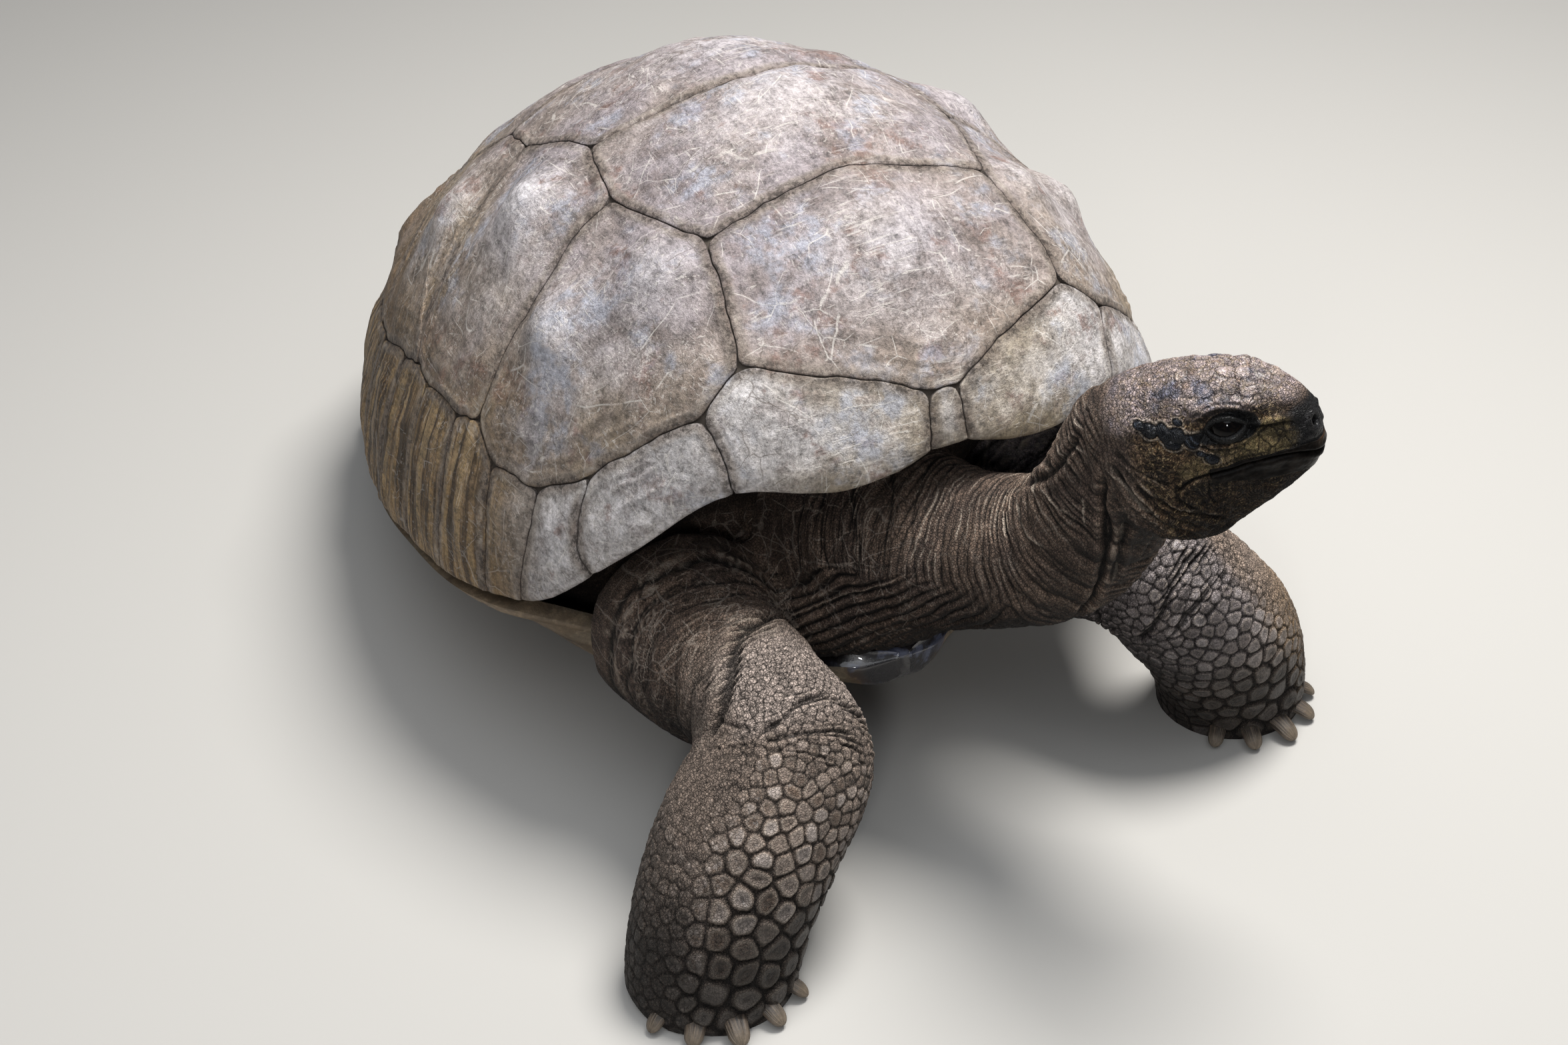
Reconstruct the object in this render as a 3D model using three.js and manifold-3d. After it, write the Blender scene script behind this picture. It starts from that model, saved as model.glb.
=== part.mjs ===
// Giant tortoise, life size, standing with its neck out and its head turned to its left.
//
// The animal faces -Y, its left side is +X and up is +Z. Lengths are in millimetres.
// Points on the body are written (forward, left, up) from a point on the ground under
// the middle of the shell, and ORIGIN moves the whole animal so that the middle of its
// bounding box stands on the origin.
import * as THREE from 'three';
import { mergeVertices } from 'three/addons/utils/BufferGeometryUtils.js';
import Module from 'manifold-3d';

const wasm = await Module();
wasm.setup();

const RAD = Math.PI / 180;
const ORIGIN = { forward: 104.6, left: 5.4 };  // middle of the bounding box, in body coordinates

// Carapace: a dome on a superelliptic plan, steeper in front, tilted nose up.
const DOME = {
  centre: 64,          // forward of the ground point
  front: 456,          // plan half-lengths and half-width
  rear: 684,
  half: 429,
  plan: 2.13,          // exponent of the plan
  top: 650,            // height of the crown before the tilt
  pitch: 0.0737,       // nose-up tilt in radians, about a point 250 mm up
  pivot: 250,
};
const RIM = {                                  // height of the shell's edge around the plan
  degrees: [0, 14, 28, 42, 56, 72, 90, 115, 140, 160, 180],
  values: [402, 381, 386, 309, 230, 202, 190, 160, 165, 165, 150],
};
const ROUNDNESS = { degrees: [0, 90, 180], values: [1.886, 1.77, 1.483] };
const PLATE = 14;                              // horn and bone of the upper plates
const EDGE_PLATE = 17;                         // thicker plates of the rim
const SEAM = 0.0032;                           // half a seam, in units of the unit disk
const GAP = 0.4;                               // clearance between neighbouring solids

// Plastron: bottom heights and half-widths at stations along the body.
const BELLY = {
  thick: 26,
  forward: [-500, -460, -360, -270, -225, -110, 0, 100, 200, 262, 305, 360, 422, 466],
  width: [95, 150, 190, 215, 0, 0, 0, 0, 0, 0, 200, 160, 88, 34],  // 0: a bridge to the rim
  bottom: [76, 68, 58, 56, 56, 56, 58, 63, 68, 76, 84, 96, 116, 130],
  lift: 14,                                    // upturn of the free edges
  underRim: 7,                                 // the bridge stops this far below the rim
  inset: 3,                                    // and this far inside it
  flat: 0.62,                                  // share of the half-width before the edge turns up
  columns: 10,
};

// Limbs and neck: forward, left, up, half-width, half-depth.
const NECK = [
  [330, -20, 255, 125, 120],
  [450, -10, 292, 94, 92],
  [530, 30, 315, 80, 78],
  [600, 72, 352, 74, 73],
  [642, 92, 425, 66, 68],
  [662, 98, 490, 60, 64],
  [672, 100, 530, 52, 56],
];
const FORELEG_RIGHT = [
  [340, -225, 190, 106, 106],
  [440, -232, 206, 82, 88],
  [528, -226, 224, 71, 72],
  [588, -225, 190, 87, 80],
  [620, -280, 135, 92, 82],
  [638, -318, 78, 89, 82],
  [647, -336, 28, 86, 82],
  [650, -341, -14, 86, 82],
];
const FORELEG_LEFT = [
  [335, 195, 195, 115, 108],
  [440, 200, 222, 90, 90],
  [512, 230, 224, 79, 79],
  [538, 280, 168, 83, 80],
  [534, 325, 105, 85, 81],
  [524, 350, 45, 82, 80],
  [520, 356, -14, 81, 79],
];
const HIND_LEG = [
  [-300, 190, 190, 98, 98],
  [-365, 240, 130, 80, 82],
  [-405, 264, 75, 70, 74],
  [-420, 270, 28, 70, 76],
  [-423, 271, -14, 70, 78],
];
const TAIL = [
  [-470, 0, 135, 40, 36],
  [-530, 6, 105, 30, 27],
  [-575, 16, 72, 20, 18],
  [-600, 26, 50, 9, 8],
];
const CHEST = [                                // slack flesh under the neck
  [270, 0, 190, 215, 72],
  [372, -5, 189, 186, 61],
  [410, -8, 206, 150, 64],
  [452, -8, 247, 104, 60],
  [494, 2, 283, 76, 56],
];
const NECK_BEND = 3;                           // index of the station where the neck is parted
const ELBOW = { right: 3, left: 3, hind: 1 };  // and of the stations where the legs are

// Head, in its own frame: along the skull, across it and up from the line of the nape.
const HEAD = {
  seat: [670, 65, 545],                        // origin on the body
  heading: 44 * RAD,                           // turned to the animal's left
  pitch: 18 * RAD,                             // snout raised
  stations: [                                  // along, half-width, top, bottom
    [-12, 38, 16, -72],
    [12, 50, 30, -112],
    [45, 55, 38, -132],
    [80, 54, 40, -133],
    [106, 49, 40, -119],
    [130, 43, 38, -105],
    [150, 37, 29, -94],
    [168, 31, 18, -83],
    [180, 25, 6, -73],
    [188, 20, -3, -64],
    [193, 12, -13, -54],
  ],
  squareness: 0.85,                            // 1 is an ellipse, less is squarer
  mouth: -46,                                  // height of the mouth line
  jaw: 74,                                     // the mouth's corner, along the skull
  eye: [120, 28, -10],
  eyeRadius: 18.5,
};
const CLAW = {
  length: 46,
  radius: 13,
  inner: -42,                                  // heading of the innermost claw, degrees outwards
  outer: 62,                                   // and of the outermost
  height: 17,                                  // of a claw's middle
  droop: 0.22,                                 // how far it points down
  proud: 2,                                    // from the foot's wall to the claw's middle
  fore: 5,                                     // claws on a forefoot
  hind: 4,                                     // and on a hind foot
};
const SIDES = 14;                              // facets around a limb
const RINGS = 9;                               // rings along a limb
const NECK_RINGS = 11;                         // along the neck, which bends the most
const TAIL_RINGS = 6;

// ---------------------------------------------------------------- basics
const body = (forward, left, up) => new THREE.Vector3(left, -forward, up);
const mix = (a, b, t) => a + (b - a) * t;

// Smooth curve through values at given angles, mirrored left to right.
function around({ degrees, values }, angle) {
  const d = Math.abs(((angle / RAD + 540) % 360) - 180);
  let i = 0;
  while (i < degrees.length - 2 && d > degrees[i + 1]) i += 1;
  const slope = (k) => (k === 0 || k === degrees.length - 1 ? 0
    : (values[k + 1] - values[k - 1]) / (degrees[k + 1] - degrees[k - 1]));
  const span = degrees[i + 1] - degrees[i];
  const t = (d - degrees[i]) / span;
  const t2 = t * t;
  const t3 = t2 * t;
  return (2 * t3 - 3 * t2 + 1) * values[i] + (t3 - 2 * t2 + t) * span * slope(i)
    + (3 * t2 - 2 * t3) * values[i + 1] + (t3 - t2) * span * slope(i + 1);
}

// Straight-line interpolation in a table of stations.
function along(xs, ys, x) {
  let i = 0;
  while (i < xs.length - 2 && x > xs[i + 1]) i += 1;
  const t = THREE.MathUtils.clamp((x - xs[i]) / (xs[i + 1] - xs[i]), 0, 1);
  return mix(ys[i], ys[i + 1], t);
}

// A closed surface from rows of points: each row is a loop, and the ends are capped.
function loftLoops(loops) {
  const sides = loops[0].length;
  const points = loops.flat();
  const index = [];
  for (let i = 0; i < loops.length - 1; i += 1) {
    for (let j = 0; j < sides; j += 1) {
      const k = (j + 1) % sides;
      const a = i * sides;
      const b = a + sides;
      index.push(a + j, a + k, b + k, a + j, b + k, b + j);
    }
  }
  for (const [loop, start, flip] of [[loops[0], 0, true],
    [loops.at(-1), (loops.length - 1) * sides, false]]) {
    const middle = loop.reduce((s, p) => s.add(p), new THREE.Vector3()).divideScalar(sides);
    points.push(middle);
    for (let j = 0; j < sides; j += 1) {
      const k = (j + 1) % sides;
      index.push(...(flip ? [start + k, start + j] : [start + j, start + k]), points.length - 1);
    }
  }
  return outward(points, index);
}

// Geometry whose faces point out, whichever way round its rows were given.
function outward(points, index) {
  let volume = 0;
  for (let i = 0; i < index.length; i += 3) {
    const [a, b, c] = [0, 1, 2].map((k) => points[index[i + k]]);
    volume += a.dot(b.clone().cross(c));
  }
  if (volume < 0) index.reverse();
  const geometry = new THREE.BufferGeometry().setFromPoints(points);
  geometry.setIndex(index);
  return geometry;
}

function toSolid(geometry) {
  const bare = geometry.index ? geometry.clone() : geometry.toNonIndexed();
  bare.deleteAttribute('normal');
  bare.deleteAttribute('uv');
  const merged = mergeVertices(bare, 1e-4);
  return new wasm.Manifold(new wasm.Mesh({
    numProp: 3,
    vertProperties: new Float32Array(merged.attributes.position.array),
    triVerts: new Uint32Array(merged.index.array),
  }));
}

function toGeometry(solid) {
  const mesh = solid.getMesh();
  const geometry = new THREE.BufferGeometry();
  geometry.setAttribute('position', new THREE.BufferAttribute(mesh.vertProperties, 3));
  geometry.setIndex(new THREE.BufferAttribute(mesh.triVerts, 1));
  return geometry;
}

// The largest piece of a solid that a cut has left in several.
const largest = (solid) => solid.decompose()
  .reduce((best, piece) => (piece.volume() > best.volume() ? piece : best));

// The part of a solid on one side of a plane through a point, short of it by half a gap.
function beyond(solid, point, normal) {
  return solid.trimByPlane(normal.toArray(), point.dot(normal) + GAP / 2);
}

// ---------------------------------------------------------------- carapace surface
// Body point for unit-disk coordinates: p runs forward, q to the left, and the rim is the
// circle of radius 1. Depth is measured inwards along the surface normal.
function domePoint(p, q) {
  const t = Math.min(Math.hypot(p, q), 1);
  const angle = Math.atan2(q, p);
  const [c, s] = [Math.cos(angle), Math.sin(angle)];
  const length = c > 0 ? DOME.front : DOME.rear;
  const reach = (Math.abs(c / length) ** DOME.plan + Math.abs(s / DOME.half) ** DOME.plan)
    ** (-1 / DOME.plan);
  const power = 2 / around(ROUNDNESS, angle);
  const rim = around(RIM, angle);
  const r = reach * Math.sin((Math.PI / 2) * t) ** power;
  const rise = Math.max(Math.cos((Math.PI / 2) * t), 0) ** power;
  const forward = DOME.centre + r * c;
  const up = rim + (DOME.top - rim) * rise - DOME.pivot;
  const [cp, sp] = [Math.cos(DOME.pitch), Math.sin(DOME.pitch)];
  return body(forward * cp - up * sp, r * s, DOME.pivot + forward * sp + up * cp);
}

function shellPoint(p, q, depth = 0) {
  const step = 0.004;
  const shrink = Math.min(1, 0.985 / Math.max(Math.hypot(p, q), 1e-6));
  const [a, b] = [p * shrink, q * shrink];
  const across = domePoint(a, b + step).sub(domePoint(a, b - step));
  const ahead = domePoint(a + step, b).sub(domePoint(a - step, b));
  const normal = ahead.cross(across).normalize();
  return domePoint(p, q).addScaledVector(normal, -depth);
}

// ---------------------------------------------------------------- plates of the carapace
// Corners of the seams for the animal's left side, in unit-disk coordinates.
const polar = (degrees, t = 1) => [t * Math.cos(degrees * RAD), t * Math.sin(degrees * RAD)];
const MARGINAL_SEAMS = [2.6, 27.2, 46.4, 58.8, 66, 78, 91, 106, 121, 135, 149, 166.5];
const S = {
  nape: [0.852, 0.03],
  v1Front: [[0.745, 0.145], [0.687, 0.243]],
  v1Side: [0.65, 0.31],
  v1v2: [0.4, 0.243],
  v1v2Curve: [[0.39, 0.174], [0.368, 0.085], [0.365, 0]],
  v2Side: [0.178, 0.316],
  v2v3: [0.02, 0.306],
  v2v3Curve: [[0.07, 0.186], [0.085, 0.06]],
  v3Side: [-0.215, 0.318],
  v3v4: [-0.33, 0.263],
  v3v4Curve: [[-0.3, 0.09]],
  v4Side: [-0.473, 0.29],
  v4v5: [-0.547, 0.205],
  v4v5Curve: [[-0.53, 0.07]],
  c1c2Curve: [[0.181, 0.387], [0.202, 0.487], [0.208, 0.587]],
  c1c2: [0.234, 0.68],
  c2c3Curve: [[-0.183, 0.452], [-0.152, 0.568], [-0.139, 0.654]],
  c2c3: [-0.1, 0.702],
  c3c4Curve: [[-0.46, 0.45]],
  c3c4: polar(127, 0.745),
  v5Side: polar(158, 0.79),
  m1m2: [0.689, 0.412],
  m2m3: [0.555, 0.595],
  m3m4: [0.444, 0.67],
  m4m5: [0.309, 0.71],
  m5m6: [0.157, 0.708],
  m6m7: [-0.013, 0.725],
  m7m8: [-0.197, 0.687],
  m8m9: polar(121, 0.74),
  m9m10: polar(135, 0.75),
  m10m11: polar(149, 0.765),
  m11m12: polar(166.5, 0.8),
  tailTop: [-0.8, 0],
};
const SEAM_BENDS = {                           // corners inside the seams between rim plates
  1: [[0.731, 0.42], [0.803, 0.427]],
  2: [[0.579, 0.655], [0.622, 0.708]],
};
const back = (list) => [...list].reverse();
const mirror = (list) => list.map(([p, q]) => [p, -q]);
// An outline that crosses the midline: its left half from front to rear, then the right half.
const bothSides = (left) => [...left, ...back(mirror(left.filter(([, q]) => q !== 0)))];

const VERTEBRALS = [
  bothSides([S.nape, ...S.v1Front, S.v1Side, S.v1v2, ...S.v1v2Curve]),
  bothSides([...back(S.v1v2Curve), S.v1v2, S.v2Side, S.v2v3, ...S.v2v3Curve]),
  bothSides([...back(S.v2v3Curve), S.v2v3, S.v3Side, S.v3v4, ...S.v3v4Curve]),
  bothSides([...back(S.v3v4Curve), S.v3v4, S.v4Side, S.v4v5, ...S.v4v5Curve]),
  bothSides([...back(S.v4v5Curve), S.v4v5, S.v5Side, S.m11m12, S.tailTop]),
];
const COSTALS = [
  [S.v1Side, S.v1v2, S.v2Side, ...S.c1c2Curve, S.c1c2, S.m4m5, S.m3m4, S.m2m3, S.m1m2],
  [S.v2Side, S.v2v3, S.v3Side, ...S.c2c3Curve, S.c2c3, S.m6m7, S.m5m6, S.c1c2,
    ...back(S.c1c2Curve)],
  [S.v3Side, S.v3v4, S.v4Side, ...S.c3c4Curve, S.c3c4, S.m8m9, S.m7m8, S.c2c3,
    ...back(S.c2c3Curve)],
  [S.v4Side, S.v4v5, S.v5Side, S.m10m11, S.m9m10, S.c3c4, ...back(S.c3c4Curve)],
];
const MARGINAL_TOPS = [
  [S.nape, ...S.v1Front, S.v1Side, S.m1m2], [S.m1m2, S.m2m3], [S.m2m3, S.m3m4],
  [S.m3m4, S.m4m5], [S.m4m5, S.c1c2, S.m5m6], [S.m5m6, S.m6m7], [S.m6m7, S.c2c3, S.m7m8],
  [S.m7m8, S.m8m9], [S.m8m9, S.c3c4, S.m9m10], [S.m9m10, S.m10m11],
  [S.m10m11, S.v5Side, S.m11m12],
];
const BOSS = {                                 // height of each plate's raised middle
  vertebral: [8, 13, 8, 8, 6],
  costal: [12, 11, 10, 8],
  marginal: 3,
  nuchal: 0,
  supracaudal: 6,
};
const SLOPE = { at: 0.5, height: 0.62 };       // halfway out, a plate keeps this share of its boss
const RIM_STEP = 8;                            // degrees between the points of the rim

function rimArc(from, to) {
  const steps = Math.max(2, Math.ceil(Math.abs(to - from) / RIM_STEP));
  return Array.from({ length: steps + 1 }, (_, i) => polar(mix(from, to, i / steps)));
}

// Outline with its long edges divided, then drawn in by half a seam.
function seamed(outline) {
  const longest = 0.13;
  const fine = [];
  outline.forEach(([p, q], i) => {
    const [u, v] = outline[(i + 1) % outline.length];
    const steps = Math.max(1, Math.ceil(Math.hypot(u - p, v - q) / longest));
    for (let k = 0; k < steps; k += 1) fine.push([mix(p, u, k / steps), mix(q, v, k / steps)]);
  });
  const area = fine.reduce((sum, [p, q], i) => {
    const [u, v] = fine[(i + 1) % fine.length];
    return sum + p * v - q * u;
  }, 0);
  const turn = Math.sign(area) * SEAM;
  return fine.map(([p, q], i) => {
    const [a, b] = fine[(i + fine.length - 1) % fine.length];
    const [c, d] = fine[(i + 1) % fine.length];
    const into = new THREE.Vector2(p - a, q - b).normalize();
    const out = new THREE.Vector2(c - p, d - q).normalize();
    const bisector = new THREE.Vector2(-into.y - out.y, into.x + out.x).normalize();
    const widen = 1 / Math.max(0.5, bisector.dot(new THREE.Vector2(-into.y, into.x)));
    if (Math.hypot(p, q) > 0.999) return [p, q];
    return [p + bisector.x * turn * widen, q + bisector.y * turn * widen];
  });
}

// One plate: rings of points from its middle to its outline, outside and inside.
function plate(outline, thick, boss) {
  const edge = seamed(outline);
  const count = edge.length;
  const middle = [0, 1].map((k) => edge.reduce((sum, point) => sum + point[k], 0) / count);
  const points = [];
  const ring = (share, depth) => {
    const start = points.length;
    for (const [p, q] of edge) {
      points.push(shellPoint(mix(middle[0], p, share), mix(middle[1], q, share), depth));
    }
    return start;
  };
  const index = [];
  const band = (a, b) => {
    for (let j = 0; j < count; j += 1) {
      const k = (j + 1) % count;
      index.push(a + j, b + j, b + k, a + j, b + k, a + k);
    }
  };
  const fan = (tip, a, flip) => {
    for (let j = 0; j < count; j += 1) {
      const k = (j + 1) % count;
      index.push(tip, ...(flip ? [a + k, a + j] : [a + j, a + k]));
    }
  };
  points.push(shellPoint(...middle, -boss), shellPoint(...middle, thick));
  const outerHalf = ring(SLOPE.at, -SLOPE.height * boss);
  const outerEdge = ring(1, 0);
  const innerEdge = ring(1, thick);
  const innerHalf = ring(SLOPE.at, thick);
  fan(0, outerHalf, false);
  band(outerHalf, outerEdge);
  band(outerEdge, innerEdge);
  band(innerEdge, innerHalf);
  fan(1, innerHalf, true);
  return outward(points, index);
}

// ---------------------------------------------------------------- plastron and trunk
// Left half-width and height of the shell's rim at a forward station.
function rimAt(forward) {
  let [low, high] = [20 * RAD, 170 * RAD];
  for (let i = 0; i < 40; i += 1) {
    const angle = (low + high) / 2;
    const point = domePoint(Math.cos(angle), Math.sin(angle));
    if (-point.y > forward) low = angle;
    else high = angle;
  }
  const point = domePoint(Math.cos(low), Math.sin(low));
  return { left: point.x, up: point.z };
}

function plastron(grow) {
  const rows = [];
  BELLY.forward.forEach((forward, i) => {
    const bridge = BELLY.width[i] === 0;
    const rim = rimAt(forward);
    const half = bridge ? rim.left - BELLY.inset : BELLY.width[i];
    const floor = BELLY.bottom[i];
    const end = i === 0 || i === BELLY.forward.length - 1;
    const edge = bridge ? rim.up - BELLY.thick - BELLY.underRim : floor + (end ? 0 : BELLY.lift);
    const loop = [];
    const height = (u) => mix(floor, edge, THREE.MathUtils.smoothstep(Math.abs(u), BELLY.flat, 1));
    for (let j = 0; j <= BELLY.columns; j += 1) {
      const u = (2 * j) / BELLY.columns - 1;
      loop.push(body(forward, u * (half + grow), height(u) - grow));
    }
    for (let j = BELLY.columns; j >= 0; j -= 1) {
      const u = (2 * j) / BELLY.columns - 1;
      loop.push(body(forward, u * (half + grow), height(u) + BELLY.thick + grow));
    }
    if (end) loop.forEach((point) => { point.y -= Math.sign(forward) * grow; });
    rows.push(loop);
  });
  return toSolid(loftLoops(rows));
}

// The body inside the shell: it fills the dome, and stops short of its front and rear openings.
const TRUNK_REACH = {
  degrees: [0, 48, 70, 112, 138, 180],
  values: [0.6, 0.6, 0.95, 0.95, 0.8, 0.86],
};
const TRUNK_DEPTH = 33;                        // of its back under the shell's surface
const TRUNK_FLOOR = 14;                        // of its underside over the plastron's bottom
const TRUNK_ROWS = [0.04, 0.35, 0.65, 0.85, 1]; // rows of its back, from the crown to the brim
const TRUNK_SIDES = [[0.96, 0.25], [0.66, 1]]; // rows below the brim: width kept, share of the drop
function trunk(grow) {
  const columns = 40;
  const depth = TRUNK_DEPTH - grow;
  const rows = TRUNK_ROWS.map((share) => {
    const loop = [];
    for (let j = 0; j < columns; j += 1) {
      const angle = (j / columns) * 2 * Math.PI;
      const t = around(TRUNK_REACH, angle) * share;
      loop.push(shellPoint(t * Math.cos(angle), t * Math.sin(angle), depth));
    }
    return loop;
  });
  const brim = rows.at(-1);
  for (const [draw, drop] of TRUNK_SIDES) {
    rows.push(brim.map((point) => {
      const floor = along(BELLY.forward, BELLY.bottom, -point.y) + TRUNK_FLOOR;
      const axis = body(DOME.centre, 0, 0);
      return new THREE.Vector3(mix(axis.x, point.x, draw), mix(axis.y, point.y, draw),
        mix(point.z, floor - grow, drop));
    }));
  }
  return toSolid(loftLoops(rows));
}

// The rim plates as one band, used to cut the limbs clear of the shell.
const BAND = { reach: [0.62, 0.75, 0.9, 1], inside: 18, outside: 30 };
function rimBand() {
  const rows = [];
  const profile = [...BAND.reach.map((t) => [t, BAND.inside]),
    ...back(BAND.reach).map((t) => [t, -BAND.outside])];
  const columns = 60;
  for (let j = 0; j < columns; j += 1) {
    const angle = (j / columns) * 2 * Math.PI;
    rows.push(profile.map(([t, depth]) => {
      const point = shellPoint(t * Math.cos(angle), t * Math.sin(angle), depth);
      if (t === 1) point.z -= 2 * GAP;
      return point;
    }));
  }
  const points = rows.flat();
  const index = [];
  const size = profile.length;
  for (let j = 0; j < columns; j += 1) {
    const next = ((j + 1) % columns) * size;
    for (let k = 0; k < size; k += 1) {
      const m = (k + 1) % size;
      index.push(j * size + k, next + k, next + m, j * size + k, next + m, j * size + m);
    }
  }
  return toSolid(outward(points, index));
}

// ---------------------------------------------------------------- limbs, neck and tail
const flip = (chain) => chain.map(([forward, left, ...rest]) => [forward, -left, ...rest]);
const spot = ([forward, left, up]) => body(forward, left, up);

// An elliptical tube along a chain of stations. Half-widths lie across the body's side axis.
function limb(chain, grow = 0, rings = RINGS) {
  const path = new THREE.CatmullRomCurve3(chain.map(spot), false, 'centripetal');
  const sizes = new THREE.CatmullRomCurve3(chain.map((c) => new THREE.Vector3(c[3], c[4], 0)));
  const side = new THREE.Vector3(1, 0, 0);
  const loops = [];
  for (let i = 0; i <= rings; i += 1) {
    const t = i / rings;
    const centre = path.getPoint(t);
    const tangent = path.getTangent(t);
    const size = sizes.getPoint(t);
    const deep = tangent.clone().cross(side).normalize();
    const wide = deep.clone().cross(tangent).normalize();
    const loop = [];
    for (let j = 0; j < SIDES; j += 1) {
      const angle = (j / SIDES) * 2 * Math.PI;
      loop.push(centre.clone()
        .addScaledVector(wide, Math.cos(angle) * (size.x + grow))
        .addScaledVector(deep, Math.sin(angle) * (size.y + grow)));
    }
    loops.push(loop);
  }
  return toSolid(loftLoops(loops));
}

// Room for a leg in the flesh around it, with a gap behind the leg's blunt end too.
function legRoom(chain) {
  const grown = limb(chain, GAP);
  return grown.add(grown.translate([0, GAP, 0]));
}

// Claws fan out round the front of a foot, each a bent-down cone.
function claws(chain, count) {
  const foot = chain.at(-2);
  const outwards = Math.sign(foot[1]);
  const cones = [];
  for (let i = 0; i < count; i += 1) {
    const turn = mix(CLAW.inner, CLAW.outer, i / (count - 1)) * RAD;
    const ahead = body(Math.cos(turn), outwards * Math.sin(turn), 0);
    const cone = new THREE.ConeGeometry(CLAW.radius, CLAW.length, 8);
    cone.rotateX(Math.PI / 2);
    const aim = ahead.clone().setZ(-CLAW.droop).normalize();
    const reach = Math.hypot(Math.cos(turn) * foot[4], Math.sin(turn) * foot[3]) + CLAW.proud;
    const place = new THREE.Matrix4().compose(
      body(foot[0], foot[1], CLAW.height).addScaledVector(ahead, reach),
      new THREE.Quaternion().setFromUnitVectors(new THREE.Vector3(0, 0, 1), aim),
      new THREE.Vector3(1, 1, 1),
    );
    cones.push(toSolid(cone.applyMatrix4(place)));
  }
  return cones;
}

const ground = new THREE.Vector3(0, 0, -GAP / 2);
const up = new THREE.Vector3(0, 0, 1);

// A leg in two lengths: upper arm or thigh, and forearm or shank with its foot and claws.
function leg(chain, joint, clawCount, cutters) {
  let whole = limb(chain);
  for (const claw of claws(chain, clawCount)) whole = whole.add(claw);
  for (const cutter of cutters) whole = whole.subtract(cutter);
  whole = largest(beyond(whole, ground, up));
  const bend = spot(chain[joint]);
  const down = spot(chain[joint + 1]).sub(spot(chain[joint - 1])).normalize();
  return {
    upper: largest(beyond(whole, bend, down.clone().negate())),
    lower: largest(beyond(whole, bend, down)),
  };
}

// ---------------------------------------------------------------- head
const skull = new THREE.Matrix4()
  .makeTranslation(...body(...HEAD.seat))
  .multiply(new THREE.Matrix4().makeRotationZ(HEAD.heading))
  .multiply(new THREE.Matrix4().makeRotationX(-HEAD.pitch));
const onSkull = (ahead, left, high) => body(ahead, left, high).applyMatrix4(skull);
const skullAxis = (ahead, left, high) => body(ahead, left, high).transformDirection(skull);

function headSolid(grow = 0) {
  const loops = HEAD.stations.map(([ahead, half, top, bottom]) => {
    const loop = [];
    for (let j = 0; j < SIDES + 2; j += 1) {
      const angle = (j / (SIDES + 2)) * 2 * Math.PI;
      const square = (v) => Math.sign(v) * Math.abs(v) ** HEAD.squareness;
      loop.push(onSkull(ahead, (half + grow) * square(Math.cos(angle)),
        (top + bottom) / 2 + ((top - bottom) / 2 + grow) * square(Math.sin(angle))));
    }
    return loop;
  });
  return toSolid(loftLoops(loops));
}

function eyeball(side, radius) {
  const ball = new THREE.SphereGeometry(radius, 16, 10);
  const [ahead, left, high] = HEAD.eye;
  return toSolid(ball.translate(...onSkull(ahead, side * left, high)));
}

// ---------------------------------------------------------------- assembly
const horn = new THREE.MeshStandardMaterial({ color: 0x83796f, roughness: 0.62 });
const rimHorn = new THREE.MeshStandardMaterial({ color: 0x776c5f, roughness: 0.62 });
const hide = new THREE.MeshStandardMaterial({ color: 0x3f3a36, roughness: 0.8 });
const belly = new THREE.MeshStandardMaterial({ color: 0x6b6257, roughness: 0.65 });
const wetEye = new THREE.MeshStandardMaterial({ color: 0x0c0b0a, roughness: 0.08 });

const tortoise = new THREE.Group();
tortoise.position.copy(body(-ORIGIN.forward, -ORIGIN.left, 0));

function piece(name, shape, material) {
  const mesh = new THREE.Mesh(shape.isBufferGeometry ? shape : toGeometry(shape), material);
  mesh.name = name;
  tortoise.add(mesh);
}

VERTEBRALS.forEach((outline, i) => {
  piece(`vertebral_${i + 1}`, plate(outline, PLATE, BOSS.vertebral[i]), horn);
});
const nuchalAngle = MARGINAL_SEAMS[0];
piece('nuchal', plate([S.nape, ...mirror([S.nape]), ...rimArc(-nuchalAngle, nuchalAngle)],
  EDGE_PLATE, BOSS.nuchal), rimHorn);
const tailAngle = MARGINAL_SEAMS.at(-1);
piece('supracaudal', plate([S.m11m12, ...rimArc(tailAngle, 360 - tailAngle),
  ...mirror([S.m11m12]), S.tailTop], EDGE_PLATE, BOSS.supracaudal), rimHorn);

for (const [side, sign] of [['left', 1], ['right', -1]]) {
  const turn = (list) => list.map(([p, q]) => [p, sign * q]);
  COSTALS.forEach((outline, i) => {
    piece(`costal_${side}_${i + 1}`, plate(turn(outline), PLATE, BOSS.costal[i]), horn);
  });
  MARGINAL_TOPS.forEach((top, i) => {
    const outline = [...top, ...(SEAM_BENDS[i + 1] ?? []),
      ...rimArc(MARGINAL_SEAMS[i + 1], MARGINAL_SEAMS[i]), ...back(SEAM_BENDS[i] ?? [])];
    piece(`marginal_${side}_${i + 1}`, plate(turn(outline), EDGE_PLATE, BOSS.marginal),
      rimHorn);
  });
}

const band = rimBand();
const plastronCutter = plastron(2 * GAP);
const trunkCutter = trunk(GAP);
piece('plastron', plastron(0), belly);
piece('trunk', largest(trunk(0).subtract(plastronCutter)), hide);

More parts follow.
